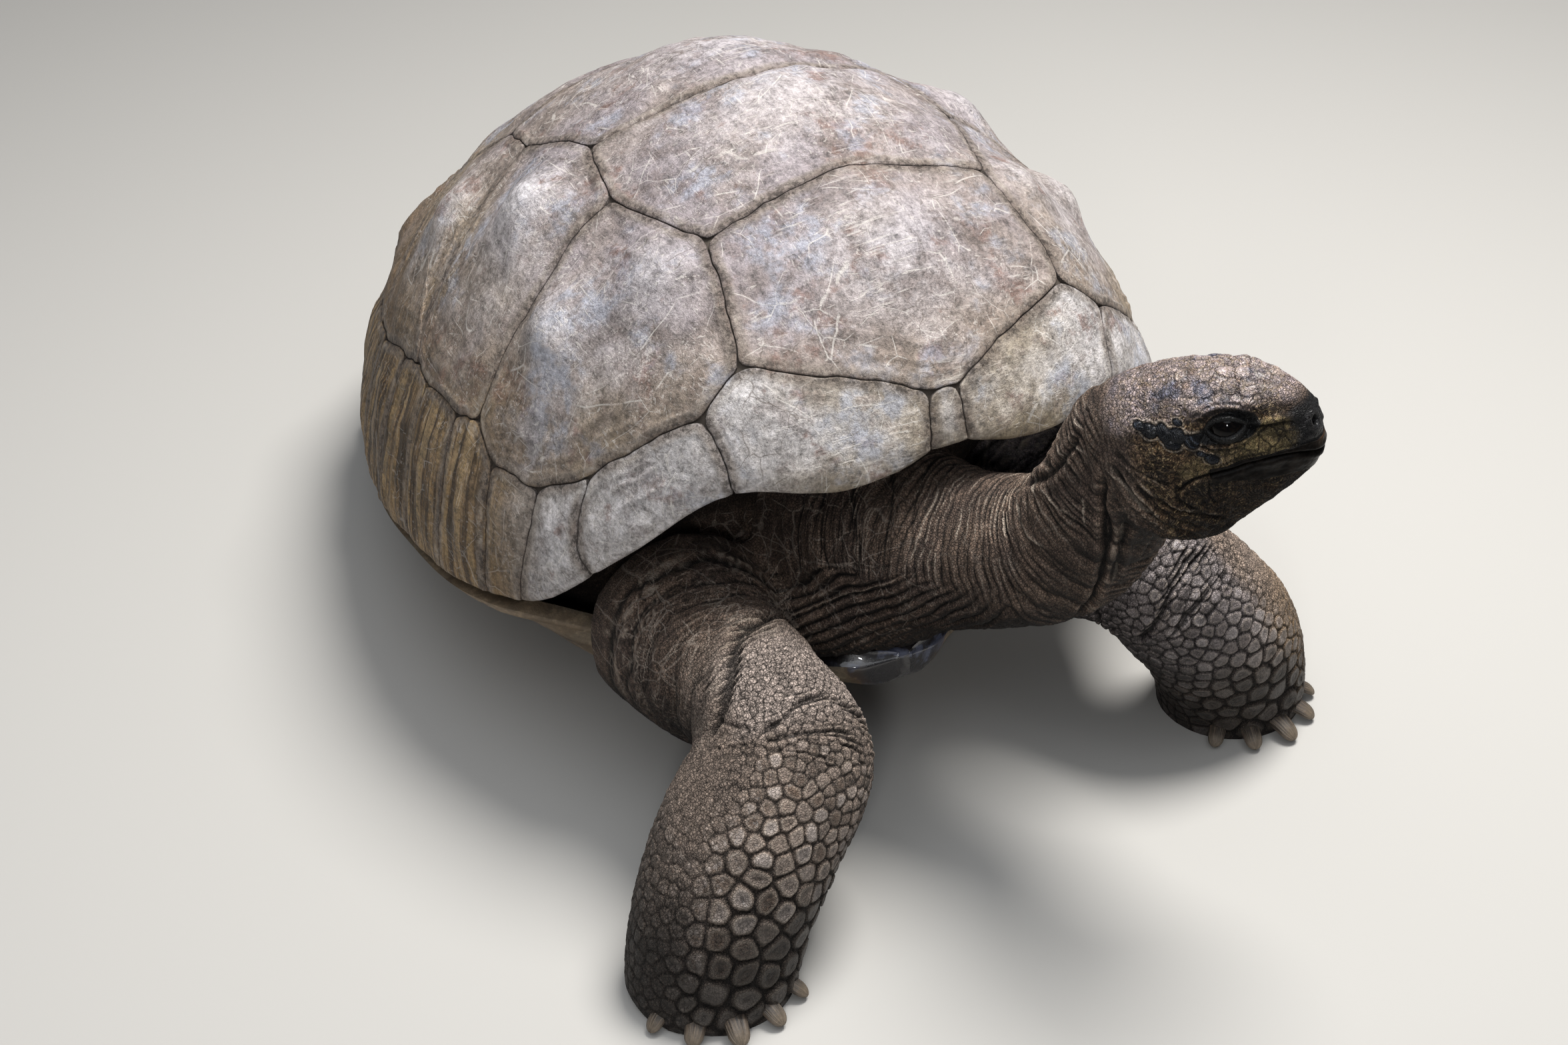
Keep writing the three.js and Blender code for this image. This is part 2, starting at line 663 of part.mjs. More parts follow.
const skullCutter = headSolid(GAP);
const chest = limb(CHEST).subtract(legRoom(FORELEG_RIGHT)).subtract(legRoom(FORELEG_LEFT));
const neck = limb(NECK, 0, NECK_RINGS).add(largest(chest)).subtract(trunkCutter)
  .subtract(plastronCutter).subtract(band).subtract(skullCutter);
const neckCutter = limb(NECK, GAP, NECK_RINGS);
const turnPoint = spot(NECK[NECK_BEND]);
const turnAxis = spot(NECK[NECK_BEND + 1]).sub(spot(NECK[NECK_BEND - 1])).normalize();
piece('neck_base', largest(beyond(neck, turnPoint, turnAxis.clone().negate())), hide);
piece('neck_upper', largest(beyond(neck, turnPoint, turnAxis)), hide);

const jawAxis = skullAxis(1, 0, 0);
const jawUp = skullAxis(0, 0, 1);
const corner = onSkull(HEAD.jaw, 0, HEAD.mouth);
const room = 400;                              // wider than the head, for the cut of the mouth
const mouthBox = new THREE.BoxGeometry(room, room, room)
  .translate(...body(room / 2, 0, -room / 2));
mouthBox.translate(...body(HEAD.jaw, 0, HEAD.mouth)).applyMatrix4(skull);
let head = headSolid().subtract(toSolid(mouthBox));
for (const sign of [1, -1]) head = head.subtract(eyeball(sign, HEAD.eyeRadius + GAP));
piece('head', largest(head), hide);
piece('lower_jaw', beyond(beyond(headSolid(), corner, jawAxis), corner,
  jawUp.clone().negate()), hide);
piece('eye_left', eyeball(1, HEAD.eyeRadius), wetEye);
piece('eye_right', eyeball(-1, HEAD.eyeRadius), wetEye);

const fixed = [trunkCutter, plastronCutter, band, neckCutter, skullCutter];
for (const [name, chain, joint, count] of [
  ['foreleg_right', FORELEG_RIGHT, ELBOW.right, CLAW.fore],
  ['foreleg_left', FORELEG_LEFT, ELBOW.left, CLAW.fore],
  ['hind_leg_left', HIND_LEG, ELBOW.hind, CLAW.hind],
  ['hind_leg_right', flip(HIND_LEG), ELBOW.hind, CLAW.hind],
]) {
  const { upper, lower } = leg(chain, joint, count, fixed);
  piece(`${name}_upper`, upper, hide);
  piece(`${name}_lower`, lower, hide);
}
piece('tail', largest(limb(TAIL, 0, TAIL_RINGS).subtract(trunkCutter).subtract(plastronCutter)
  .subtract(band)), hide);

export default tortoise;
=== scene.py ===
# A giant tortoise, life size: horn plates over a bony shell, one skin, eyes, beak and claws.
import itertools
import math

import bmesh
import bpy
import numpy as np
from mathutils import Matrix, Vector
from mathutils.kdtree import KDTree


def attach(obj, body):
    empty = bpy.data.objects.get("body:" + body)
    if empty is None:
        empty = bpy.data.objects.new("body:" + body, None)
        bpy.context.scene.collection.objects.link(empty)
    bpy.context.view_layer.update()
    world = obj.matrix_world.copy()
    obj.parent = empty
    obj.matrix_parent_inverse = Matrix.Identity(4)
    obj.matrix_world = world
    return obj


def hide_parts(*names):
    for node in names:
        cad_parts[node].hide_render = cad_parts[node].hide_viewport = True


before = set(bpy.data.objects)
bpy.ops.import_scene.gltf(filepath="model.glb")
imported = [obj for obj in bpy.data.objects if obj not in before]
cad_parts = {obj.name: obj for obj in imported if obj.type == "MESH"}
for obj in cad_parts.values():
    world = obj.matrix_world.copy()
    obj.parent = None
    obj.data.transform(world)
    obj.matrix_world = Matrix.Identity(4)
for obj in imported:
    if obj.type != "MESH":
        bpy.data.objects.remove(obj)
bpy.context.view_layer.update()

# ---------------------------------------------------------------- bone vault
# The rib cage grown into one bony vault. It lies just under the horn plates and shows only as
# the dark bottom of the seams between them; its dark brown is painted shade, with lighter dust.
MM = 0.001
GROUND_POINT = (104.6, 5.4)       # middle of the animal, forward and left of the ground point
# The dome, in mm: how far forward its middle is, its reach to the front, the rear and the sides,
# the power that shapes its plan, its top, and the angle in radians that raises its front about a
# pivot at a height.
DOME = dict(centre=64, front=456, rear=684, half=429, plan=2.13, top=650, pitch=0.0737, pivot=250)
# Heights of the rim in mm, and how round the dome is, at angles from straight ahead.
RIM_HEIGHT = ([0, 14, 28, 42, 56, 72, 90, 115, 140, 160, 180],
              [402, 381, 386, 309, 230, 202, 190, 160, 165, 165, 150])
ROUNDNESS = ([0, 90, 180], [1.886, 1.77, 1.483])
HORN = 4.4                        # thickness of the horn over the bone, mm
BONE = 9.0                        # thickness of the bone, mm
BONE_TOP = HORN - 0.3             # depth of the bone's outside, which meets the horn, mm
VAULT_REACH = 0.968               # where the vault ends, as a share of the way to the shell's rim
VAULT_ROWS, VAULT_COLUMNS = 49, 132
SEAM_SHADE, SEAM_DUST = (0.042, 0.032, 0.024), (0.07, 0.055, 0.042)


def place(forward, left, up):
    """Row-frame points in metres, from millimetres forward, left and up of the ground point."""
    return np.stack(np.broadcast_arrays(left - GROUND_POINT[1], GROUND_POINT[0] - forward, up),
                    -1) * MM


def ramp(x, low, high):
    """0 below low, 1 above high, and smooth between them; falling if low is the greater."""
    t = np.clip((x - low) / (high - low), 0, 1)
    return t * t * (3 - 2 * t)


def hump(x, middle, width):
    """A smooth rise to 1 at a middle."""
    return np.exp(-((x - middle) / width) ** 2)


def mirrored(table, angle):
    """A smooth curve through values at angles from straight ahead, the same left and right."""
    at, values = (np.array(column, float) for column in table)
    d = np.abs((np.degrees(angle) + 540) % 360 - 180)
    i = np.clip(np.searchsorted(at, d) - 1, 0, len(at) - 2)
    slope = np.zeros(len(at))
    slope[1:-1] = (values[2:] - values[:-2]) / (at[2:] - at[:-2])
    span = at[i + 1] - at[i]
    t = (d - at[i]) / span
    return ((2 * t**3 - 3 * t**2 + 1) * values[i] + (t**3 - 2 * t**2 + t) * span * slope[i]
            + (3 * t**2 - 2 * t**3) * values[i + 1] + (t**3 - t**2) * span * slope[i + 1])


def dome(p, q):
    """The shell's surface over the unit disk: p ahead, q to the left, the rim at radius 1."""
    p, q = np.broadcast_arrays(p, q)
    t = np.minimum(np.hypot(p, q), 1)
    angle = np.arctan2(q, p)
    c, s = np.cos(angle), np.sin(angle)
    length = np.where(c > 0, DOME["front"], DOME["rear"])
    n = DOME["plan"]
    reach = (np.abs(c / length) ** n + np.abs(s / DOME["half"]) ** n) ** (-1 / n)
    power = 2 / mirrored(ROUNDNESS, angle)
    rim = mirrored(RIM_HEIGHT, angle)
    r = reach * np.sin(np.pi / 2 * t) ** power
    rise = np.maximum(np.cos(np.pi / 2 * t), 0) ** power
    forward = DOME["centre"] + r * c
    up = rim + (DOME["top"] - rim) * rise - DOME["pivot"]
    cp, sp = math.cos(DOME["pitch"]), math.sin(DOME["pitch"])
    return place(forward * cp - up * sp, r * s, DOME["pivot"] + forward * sp + up * cp)


def dome_normal(p, q):
    """The way out of the shell at a point."""
    step = 0.004
    shrink = np.minimum(1, 0.985 / np.maximum(np.hypot(p, q), 1e-6))
    a, b = p * shrink, q * shrink
    n = np.cross(dome(a + step, b) - dome(a - step, b), dome(a, b + step) - dome(a, b - step))
    return n / np.linalg.norm(n, axis=-1, keepdims=True)


def on_shell(p, q, depth):
    """A point of the shell, sunk by a depth in millimetres."""
    return dome(p, q) - dome_normal(p, q) * np.asarray(depth)[..., None] * MM


def grid_faces(rows, columns, start=0):
    """Quads of a grid of points whose rows are loops, counted from a first point."""
    j = np.arange(columns)
    i = np.arange(rows - 1)[:, None] * columns + start
    k = (j + 1) % columns
    return np.stack([i + j, i + k, i + columns + k, i + columns + j], -1).reshape(-1, 4).tolist()


def fan(start, count, tip):
    """Triangles from a loop of points to one point."""
    j = np.arange(count)
    return np.stack([start + j, start + (j + 1) % count, np.full(count, tip)], 1).tolist()


def give(mesh, **values):
    """Stores values per point on a mesh, for its material."""
    for key, value in values.items():
        kind, field = ("FLOAT", "value") if value.ndim == 1 else ("FLOAT_VECTOR", "vector")
        mesh.attributes.new(key, kind, "POINT").data.foreach_set(field, value.astype(np.float32).ravel())


def fitted(name, mesh, material, nodes=()):
    """A smooth piece riding on the body, in place of its CAD nodes."""
    mesh.shade_smooth()
    mesh.materials.clear()
    mesh.materials.append(material)
    piece = bpy.data.objects.new(name, mesh)
    bpy.context.scene.collection.objects.link(piece)
    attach(piece, "root")
    if nodes:
        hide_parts(*nodes)


def build(name, points, faces, material, slot, nodes=(), **values):
    """A piece made of points in metres and faces, with its values per point."""
    mesh = bpy.data.meshes.new(name)
    mesh.from_pydata(points.tolist(), [], faces)
    give(mesh, **values)
    fix = bmesh.new()
    fix.from_mesh(mesh)
    bmesh.ops.recalc_face_normals(fix, faces=fix.faces)
    fix.to_mesh(mesh)
    fix.free()
    fitted(name, mesh, material, nodes)


def tint(code):
    """A linear colour from the usual six-digit code."""
    values = [int(code[i:i + 2], 16) / 255 for i in (0, 2, 4)]
    return tuple(v / 12.92 if v <= 0.04045 else ((v + 0.055) / 1.055) ** 2.4 for v in values)


class Value:
    """A socket that takes part in sums: each operation adds its Math node."""

    def __init__(self, made, socket):
        self.made, self.socket = made, socket

    def _math(self, operation, *values, clamp=False):
        return self.made.node("ShaderNodeMath", {"operation": operation, "use_clamp": clamp},
                              dict(enumerate(values))).out()

    def __add__(self, other): return self._math("ADD", self, other)
    def __radd__(self, other): return self._math("ADD", other, self)
    def __sub__(self, other): return self._math("SUBTRACT", self, other)
    def __rsub__(self, other): return self._math("SUBTRACT", other, self)
    def __mul__(self, other): return self._math("MULTIPLY", self, other)
    def __rmul__(self, other): return self._math("MULTIPLY", other, self)

    def clamped(self): return self._math("ADD", self, 0.0, clamp=True)
    def least(self, other): return self._math("MINIMUM", self, other)
    def most(self, other): return self._math("MAXIMUM", self, other)

    def ramp(self, low, high):
        """0 below low, 1 above high, and smooth between them; falling if low is the greater."""
        ends = {1: low, 2: high, 3: 0.0, 4: 1.0} if low < high else {1: high, 2: low, 3: 1.0, 4: 0.0}
        return self.made.node("ShaderNodeMapRange", {"interpolation_type": "SMOOTHSTEP"},
                              {0: self, **ends}).out()


class Node:
    """A node whose outputs can be asked for by name or number."""

    def __init__(self, made, node):
        self.made, self.node = made, node

    def out(self, key=0):
        return Value(self.made, self.node.outputs[key])


class Finish:
    """A procedural material whose shader is a Principled BSDF."""

    def __init__(self, name, **constants):
        self.material = bpy.data.materials.new(name)
        self.material.use_nodes = True
        self.tree = self.material.node_tree
        self.tree.nodes.clear()
        self.shader = self.node("ShaderNodeBsdfPrincipled", {}, constants)
        self.node("ShaderNodeOutputMaterial", {}, {"Surface": self.shader.out()})

    def node(self, kind, settings, sockets):
        """Adds a node: first its settings, then the values or links of its sockets."""
        node = self.tree.nodes.new(kind)
        for key, value in settings.items():
            setattr(node, key, value)
        for key, value in sockets.items():
            self.put(node.inputs[key], value)
        return Node(self, node)

    def put(self, socket, value):
        if isinstance(value, Value):
            self.tree.links.new(value.socket, socket)
        elif socket.type == "RGBA" and len(value) == 3:
            socket.default_value = (*value, 1)
        else:
            socket.default_value = value

    def feed(self, **links):
        names = dict(colour="Base Color", roughness="Roughness", normal="Normal", coat="Coat Weight")
        for key, value in links.items():
            self.put(self.shader.node.inputs[names[key]], value)

    def place(self, stretch=(1, 1, 1), turn=(0, 0, 0)):
        """Position on the object in metres, scaled along each axis."""
        at = self.node("ShaderNodeTexCoord", {}, {}).out("Object")
        return self.node("ShaderNodeMapping", {}, {"Vector": at, "Scale": stretch,
                                                   "Rotation": turn}).out()

    def vector(self, operation, one, key, other):
        """Vector maths on one vector and the value of a second socket."""
        return self.node("ShaderNodeVectorMath", {"operation": operation}, {0: one, key: other}).out()

    def noise(self, size, detail, rough=0.55, at=None, offset=0.0):
        """Noise about 0.5 with lumps of that size in metres."""
        at = at or self.place()
        if offset:
            at = self.vector("ADD", at, 1, (offset, -offset, offset / 2))
        return self.node("ShaderNodeTexNoise", {}, {
            "Vector": at, "Scale": 1 / size, "Detail": detail, "Roughness": rough}).out("Fac")

    def cracks(self, size, at):
        """Distance to the edges of cells of that size, as a share of the size."""
        return self.node("ShaderNodeTexVoronoi", {"feature": "DISTANCE_TO_EDGE"},
                         {"Vector": at, "Scale": 1 / size}).out("Distance")

    def shaken(self, amount, size, at=None):
        """The position moved about by noise, to bend what is drawn on it."""
        at = at or self.place()
        shift = self.node("ShaderNodeTexNoise", {}, {"Vector": at, "Scale": 1 / size,
                                                     "Detail": 2.0}).out("Color")
        centred = self.vector("SUBTRACT", shift, 1, (0.5, 0.5, 0.5))
        return self.vector("ADD", at, 1, self.scaled(centred, amount))

    def strokes(self, draw, bend, patch, first, shows, kinds):
        """Sets of bent lines, each kept to its own patches of the surface, the strongest on top."""
        found = None
        for i, (size, stretch, turn) in enumerate(kinds):
            line = draw(size, self.shaken(*bend, self.place(stretch, turn)))
            line = line * self.noise(patch, 2, offset=first + i).ramp(*shows)
            found = line if found is None else found.most(line)
        return found

    def mix(self, share, one, other):
        """One colour towards the other by a share."""
        return self.node("ShaderNodeMix", {"data_type": "RGBA"},
                         {"Factor": share, 6: one, 7: other}).out(2)

    def painted(self, colour, *coats):
        """A colour under thin coats of paint, each a share and a colour's code."""
        for share, code in coats:
            colour = self.mix(share, colour, tint(code))
        return colour

    def scaled(self, colour, share):
        """A colour made lighter or darker."""
        return self.vector("SCALE", colour, "Scale", share)

    def attribute(self, name, output="Fac"):
        return self.node("ShaderNodeAttribute", {"attribute_name": name}, {}).out(output)

    def bump(self, height, strength, distance):
        return self.node("ShaderNodeBump", {}, {"Height": height, "Strength": strength,
                                                "Distance": distance}).out()


# Painted shade: dark brown at the bottom of the seams, with lighter dust.
bone = Finish("seam_shade_bone", Roughness=0.85)
dust = bone.noise(0.012, 5)
bone.feed(colour=bone.mix(dust.ramp(0.5, 0.75), SEAM_SHADE, SEAM_DUST),
          normal=bone.bump(dust, 0.8, 0.0015))

reach = np.linspace(0, VAULT_REACH, VAULT_ROWS)[1:, None]
turn = np.linspace(0, 2 * np.pi, VAULT_COLUMNS, endpoint=False)
p, q = reach * np.cos(turn), reach * np.sin(turn)
# The inside is plain, so every third row does.
sheets = np.vstack([on_shell(p, q, BONE_TOP).reshape(-1, 3),
                    on_shell(p[::-3], q[::-3], HORN + BONE).reshape(-1, 3)])
crown = np.zeros(1)
points = np.vstack([sheets, on_shell(crown, crown, BONE_TOP), on_shell(crown, crown, HORN + BONE)])
faces = (grid_faces(len(sheets) // VAULT_COLUMNS, VAULT_COLUMNS)
         + fan(0, VAULT_COLUMNS, len(sheets))
         + fan(len(sheets) - VAULT_COLUMNS, VAULT_COLUMNS, len(sheets) + 1))
build("bone_vault", points, faces, bone.material, "shell_horn")

# ---------------------------------------------------------------- horn plates of the shell
# Five plates down the back, four on each side and a rim of twenty-four, each a curved sheet of
# horn with worn growth rings, a rounded edge at its seams and a thick lip at the shell's rim.
SEAM_HALF = 0.45                  # half the width of a seam, mm
SEAM_DROP = 0.9                   # how far an edge rolls down into its seam, mm
RIM_THICK = 17.0                  # thickness of the plates at the rim, mm
POINT_EVERY = 3.57                # spacing of the points of a plate from its middle outwards, mm
EDGE_POINTS = dict(shell_horn=6.9, rim_horn=5.1)    # spacing of the points along its edge, mm
FLARE = 7.0                       # how far the front of the rim turns out, mm
LIP_ROUND = 6.0                   # how far the rim's lip rounds past its edge, mm
BOSSES = [                        # ahead, left, height mm, radius mm of the worn knobs
    (0.53, 0.0, 9, 62), (0.14, 0.0, 8, 75), (-0.095, 0.0, 7, 60),
    (0.29, 0.49, 18, 38), (0.39, 0.33, 11, 46), (0.05, 0.42, 17, 48),
    (0.29, -0.49, 19, 46), (0.39, -0.33, 15, 52), (0.03, -0.42, 25, 47), (0.12, -0.5, 8, 60),
    (-0.28, 0.44, 12, 48), (-0.28, -0.44, 12, 48), (-0.58, 0.35, 9, 45), (-0.58, -0.35, 9, 45),
]
MARGIN_ANGLES = [2.6, 27.2, 46.4, 58.8, 66, 78, 91, 106, 121, 135, 149, 166.5]


def polar(degrees, radius=1.0):
    """A point of the disk at an angle from straight ahead."""
    return (radius * math.cos(math.radians(degrees)), radius * math.sin(math.radians(degrees)))


nape, tail_top = (0.852, 0.03), (-0.8, 0.0)
v1_front, v1_side = [(0.745, 0.145), (0.687, 0.243)], (0.65, 0.31)
v12, v12_line, v2_side = (0.4, 0.243), [(0.39, 0.174), (0.368, 0.085), (0.365, 0)], (0.178, 0.316)
v23, v23_line, v3_side = (0.02, 0.306), [(0.07, 0.186), (0.085, 0.06)], (-0.215, 0.318)
v34, v34_line, v4_side = (-0.33, 0.263), [(-0.3, 0.09)], (-0.473, 0.29)
v45, v45_line, v5_side = (-0.547, 0.205), [(-0.53, 0.07)], polar(158, 0.79)
c12, c12_line = (0.234, 0.68), [(0.181, 0.387), (0.202, 0.487), (0.208, 0.587)]
c23, c23_line = (-0.1, 0.702), [(-0.183, 0.452), (-0.152, 0.568), (-0.139, 0.654)]
c34, c34_line = polar(127, 0.745), [(-0.46, 0.45)]
m = [None, (0.689, 0.412), (0.555, 0.595), (0.444, 0.67), (0.309, 0.71), (0.157, 0.708),
     (-0.013, 0.725), (-0.197, 0.687), polar(121, 0.74), polar(135, 0.75), polar(149, 0.765),
     polar(166.5, 0.8)]            # m[i]: where the seam behind rim plate i starts
rim_bends = {1: [(0.731, 0.42), (0.803, 0.427)], 2: [(0.579, 0.655), (0.622, 0.708)]}


def rim_arc(start, end):
    """Points along the shell's rim between two angles."""
    steps = max(2, math.ceil(abs(end - start) / 3))
    return [polar(start + (end - start) * i / steps) for i in range(steps + 1)]


def two_sided(left):
    """An outline that goes down the left and back up the right."""
    return left + [(a, -b) for a, b in reversed(left) if b != 0]


back_plates = [
    two_sided([nape, *v1_front, v1_side, v12, *v12_line]),
    two_sided([*v12_line[::-1], v12, v2_side, v23, *v23_line]),
    two_sided([*v23_line[::-1], v23, v3_side, v34, *v34_line]),
    two_sided([*v34_line[::-1], v34, v4_side, v45, *v45_line]),
    two_sided([*v45_line[::-1], v45, v5_side, m[11], tail_top]),
]
side_plates = [
    [v1_side, v12, v2_side, *c12_line, c12, m[4], m[3], m[2], m[1]],
    [v2_side, v23, v3_side, *c23_line, c23, m[6], m[5], c12, *c12_line[::-1]],
    [v3_side, v34, v4_side, *c34_line, c34, m[8], m[7], c23, *c23_line[::-1]],
    [v4_side, v45, v5_side, m[10], m[9], c34, *c34_line[::-1]],
]
rim_tops = [
    [nape, *v1_front, v1_side, m[1]], [m[1], m[2]], [m[2], m[3]], [m[3], m[4]], [m[4], c12, m[5]],
    [m[5], m[6]], [m[6], c23, m[7]], [m[7], m[8]], [m[8], c34, m[9]], [m[9], m[10]],
    [m[10], v5_side, m[11]],
]
plates = {f"vertebral_{i + 1}": (outline, "shell_horn", h)
          for i, (outline, h) in enumerate(zip(back_plates, [6, 9, 6, 7, 6]))}
plates["nuchal"] = ([nape, (nape[0], -nape[1]), *rim_arc(-2.6, 2.6)], "rim_horn", 1)
plates["supracaudal"] = ([m[11], *rim_arc(166.5, 193.5), (m[11][0], -m[11][1]), tail_top],
                         "rim_horn", 6)
for side, sign in (("left", 1), ("right", -1)):
    for i, (outline, h) in enumerate(zip(side_plates, [5, 5, 8, 7])):
        plates[f"costal_{side}_{i + 1}"] = ([(a, sign * b) for a, b in outline], "shell_horn", h)
    for i, start in enumerate(rim_tops):
        outline = [*start, *rim_bends.get(i + 1, []),
                   *rim_arc(MARGIN_ANGLES[i + 1], MARGIN_ANGLES[i]), *rim_bends.get(i, [])[::-1]]
        plates[f"marginal_{side}_{i + 1}"] = ([(a, sign * b) for a, b in outline], "rim_horn", 3)

dice = np.random.default_rng(7)
SLOPES = dice.normal(size=(256, 3))
SLOPES /= np.linalg.norm(SLOPES, axis=1, keepdims=True)
SHUFFLE = dice.permutation(256)


def noise(points, size, seed):
    """Smooth noise from about -1 to 1 at points in metres, with lumps of that size."""
    x = points / size + seed * 7.31
    cell = np.floor(x).astype(np.int64)
    inside = x - cell
    fade = inside**3 * (inside * (inside * 6 - 15) + 10)
    total = np.zeros(len(x))
    for corner in itertools.product((0, 1), repeat=3):
        c = cell + corner
        h = SHUFFLE[(SHUFFLE[(SHUFFLE[c[:, 0] & 255] + c[:, 1]) & 255] + c[:, 2]) & 255]
        weight = np.prod(np.where(corner, fade, 1 - fade), axis=1)
        total += weight * np.einsum("ij,ij->i", SLOPES[h], inside - corner)
    return total * 1.6


def seam_outline(corners, spacing):
    """A plate's outline as points a few millimetres apart, a little wavy, its corners rounded."""
    fine = []
    for (a, b), (c, d) in zip(corners, corners[1:] + corners[:1]):
        length = np.linalg.norm(dome(a, b) - dome(c, d))
        steps = max(1, round(length / MM / spacing))
        share = np.arange(steps)[:, None] / steps
        fine.append(np.array([a, b]) * (1 - share) + np.array([c, d]) * share)
        if math.hypot(a, b) > 0.999 and math.hypot(c, d) > 0.999:
            fine[-1] /= np.linalg.norm(fine[-1], axis=1, keepdims=True)
    fine = np.vstack(fine)
    at_rim = np.hypot(*fine.T) > 0.9985
    free = ~at_rim[:, None]
    for _ in range(round(123 / spacing**2)):
        mean = 0.5 * fine + 0.25 * (np.roll(fine, 1, 0) + np.roll(fine, -1, 0))
        fine = np.where(free, mean, fine)
    flat = np.column_stack([fine, np.zeros(len(fine))])
    wave = np.column_stack([noise(flat, 0.09, 1), noise(flat, 0.09, 2)]) * 0.006
    wave += np.column_stack([noise(flat, 0.03, 3), noise(flat, 0.03, 4)]) * 0.0028
    return fine + np.where(free, wave, 0), at_rim


def drawn_in(fine, at_rim):
    """The outline moved into its plate by half a seam, measured on the shell."""
    step = 1e-3
    p, q = fine.T
    here = dome(p, q)
    along_p = (dome(p + step, q) - dome(p - step, q)) / (2 * step)
    along_q = (dome(p, q + step) - dome(p, q - step)) / (2 * step)
    inward = np.cross(dome_normal(p, q), np.roll(here, -1, 0) - np.roll(here, 1, 0))
    inward /= np.linalg.norm(inward, axis=1, keepdims=True)
    inward *= np.sign(np.sum(p * np.roll(q, -1) - q * np.roll(p, -1)))
    width = SEAM_HALF * (1 + 0.45 * noise(np.column_stack([p, q, 0 * p]), 0.05, 5)) * MM
    move = inward * width[:, None]
    aa, ab, bb = (np.einsum("ij,ij->i", x, y)
                  for x, y in ((along_p, along_p), (along_p, along_q), (along_q, along_q)))
    u, v = (np.einsum("ij,ij->i", move, x) for x in (along_p, along_q))
    det = np.maximum(aa * bb - ab * ab, 1e-12)
    moved = fine + np.column_stack([bb * u - ab * v, aa * v - ab * u]) / det[:, None]
    # On the rim itself only the ends draw in, along the rim.
    ends = at_rim & ~(np.roll(at_rim, 2) & np.roll(at_rim, -2))
    angle = np.arctan2(q, p)
    middle = np.angle(np.exp(1j * angle[at_rim]).mean()) if at_rim.any() else 0
    angle = angle + np.sign(np.angle(np.exp(1j * (middle - angle)))) * ends * 0.0034
    return np.where(at_rim[:, None], np.column_stack([np.cos(angle), np.sin(angle)]), moved)


def off_front(p, q):
    """Degrees round the shell from straight ahead, the same left and right."""
    return np.abs(np.degrees(np.arctan2(q, p)))


def flare(p, q):
    """Where the front of the rim turns outwards."""
    angle = off_front(p, q)
    return ramp(np.hypot(p, q), 0.84, 1) * ramp(angle, 1, 9) * (1 - ramp(angle, 50, 66))


def from_boss(xyz, ahead, left, radius):
    """Distance of points from the middle of a knob, in radii."""
    return np.linalg.norm(xyz - dome(ahead, left), axis=1) / MM / radius


def shell_relief(xyz, p, q, share, edge, middle_height, is_rim):
    """Height in millimetres of a plate's surface over the plain dome."""
    fade = ramp(edge, 0, 22)
    h = middle_height * np.clip(1 - share**2, 0, 1) ** 1.4
    for ahead, left, height, radius in BOSSES:
        r = from_boss(xyz, ahead, left, radius)
        h = h + height * (np.exp(-r**2) - 0.14 * np.exp(-(r / 2.1) ** 2)) * fade
    h = h + fade * (4.2 * noise(xyz, 0.085, 11) + 2.0 * noise(xyz, 0.03, 12))
    h = h + 0.4 * noise(xyz, 0.012, 13)
    worn = np.clip(0.6 + 0.9 * noise(xyz, 0.07, 14), 0, 1)
    wander = edge + 2.4 * noise(xyz, 0.035, 15)
    h = h + 0.55 * np.exp(-edge / 40) * np.sin(2 * np.pi * wander / 8.3) * worn * ramp(edge, 2, 8)
    terrace = hump(wander, 15, 2.2) + 0.8 * hump(wander, 25, 2.6) + 0.7 * hump(wander, 44, 3.5)
    h = h + 2.4 * terrace * ramp(noise(xyz, 0.11, 18), -0.1, 0.35) * fade
    h = h + 1.3 * hump(wander, 8, 4.0) * worn
    h = (h - SEAM_DROP * (1 - ramp(edge, 0.3, 2.4)) ** 1.3
         + 0.9 * noise(xyz, 0.009, 21) * ramp(edge, 14, 4))
    h = np.where(edge > 5, np.maximum(h, -2.5), h)
    if is_rim:
        # Flutes down the flanks: noise drawn out across the rim.
        angle = off_front(p, q)
        drawn_out = np.column_stack([angle * 0.0065, np.hypot(p, q) * 0.05, 0 * angle])
        flutes = 1.5 * noise(drawn_out, 0.026, 16) + 1.1 * noise(drawn_out, 0.011, 17)
        h = h + FLARE * flare(p, q) + ramp(angle, 56, 74) * flutes
    return h


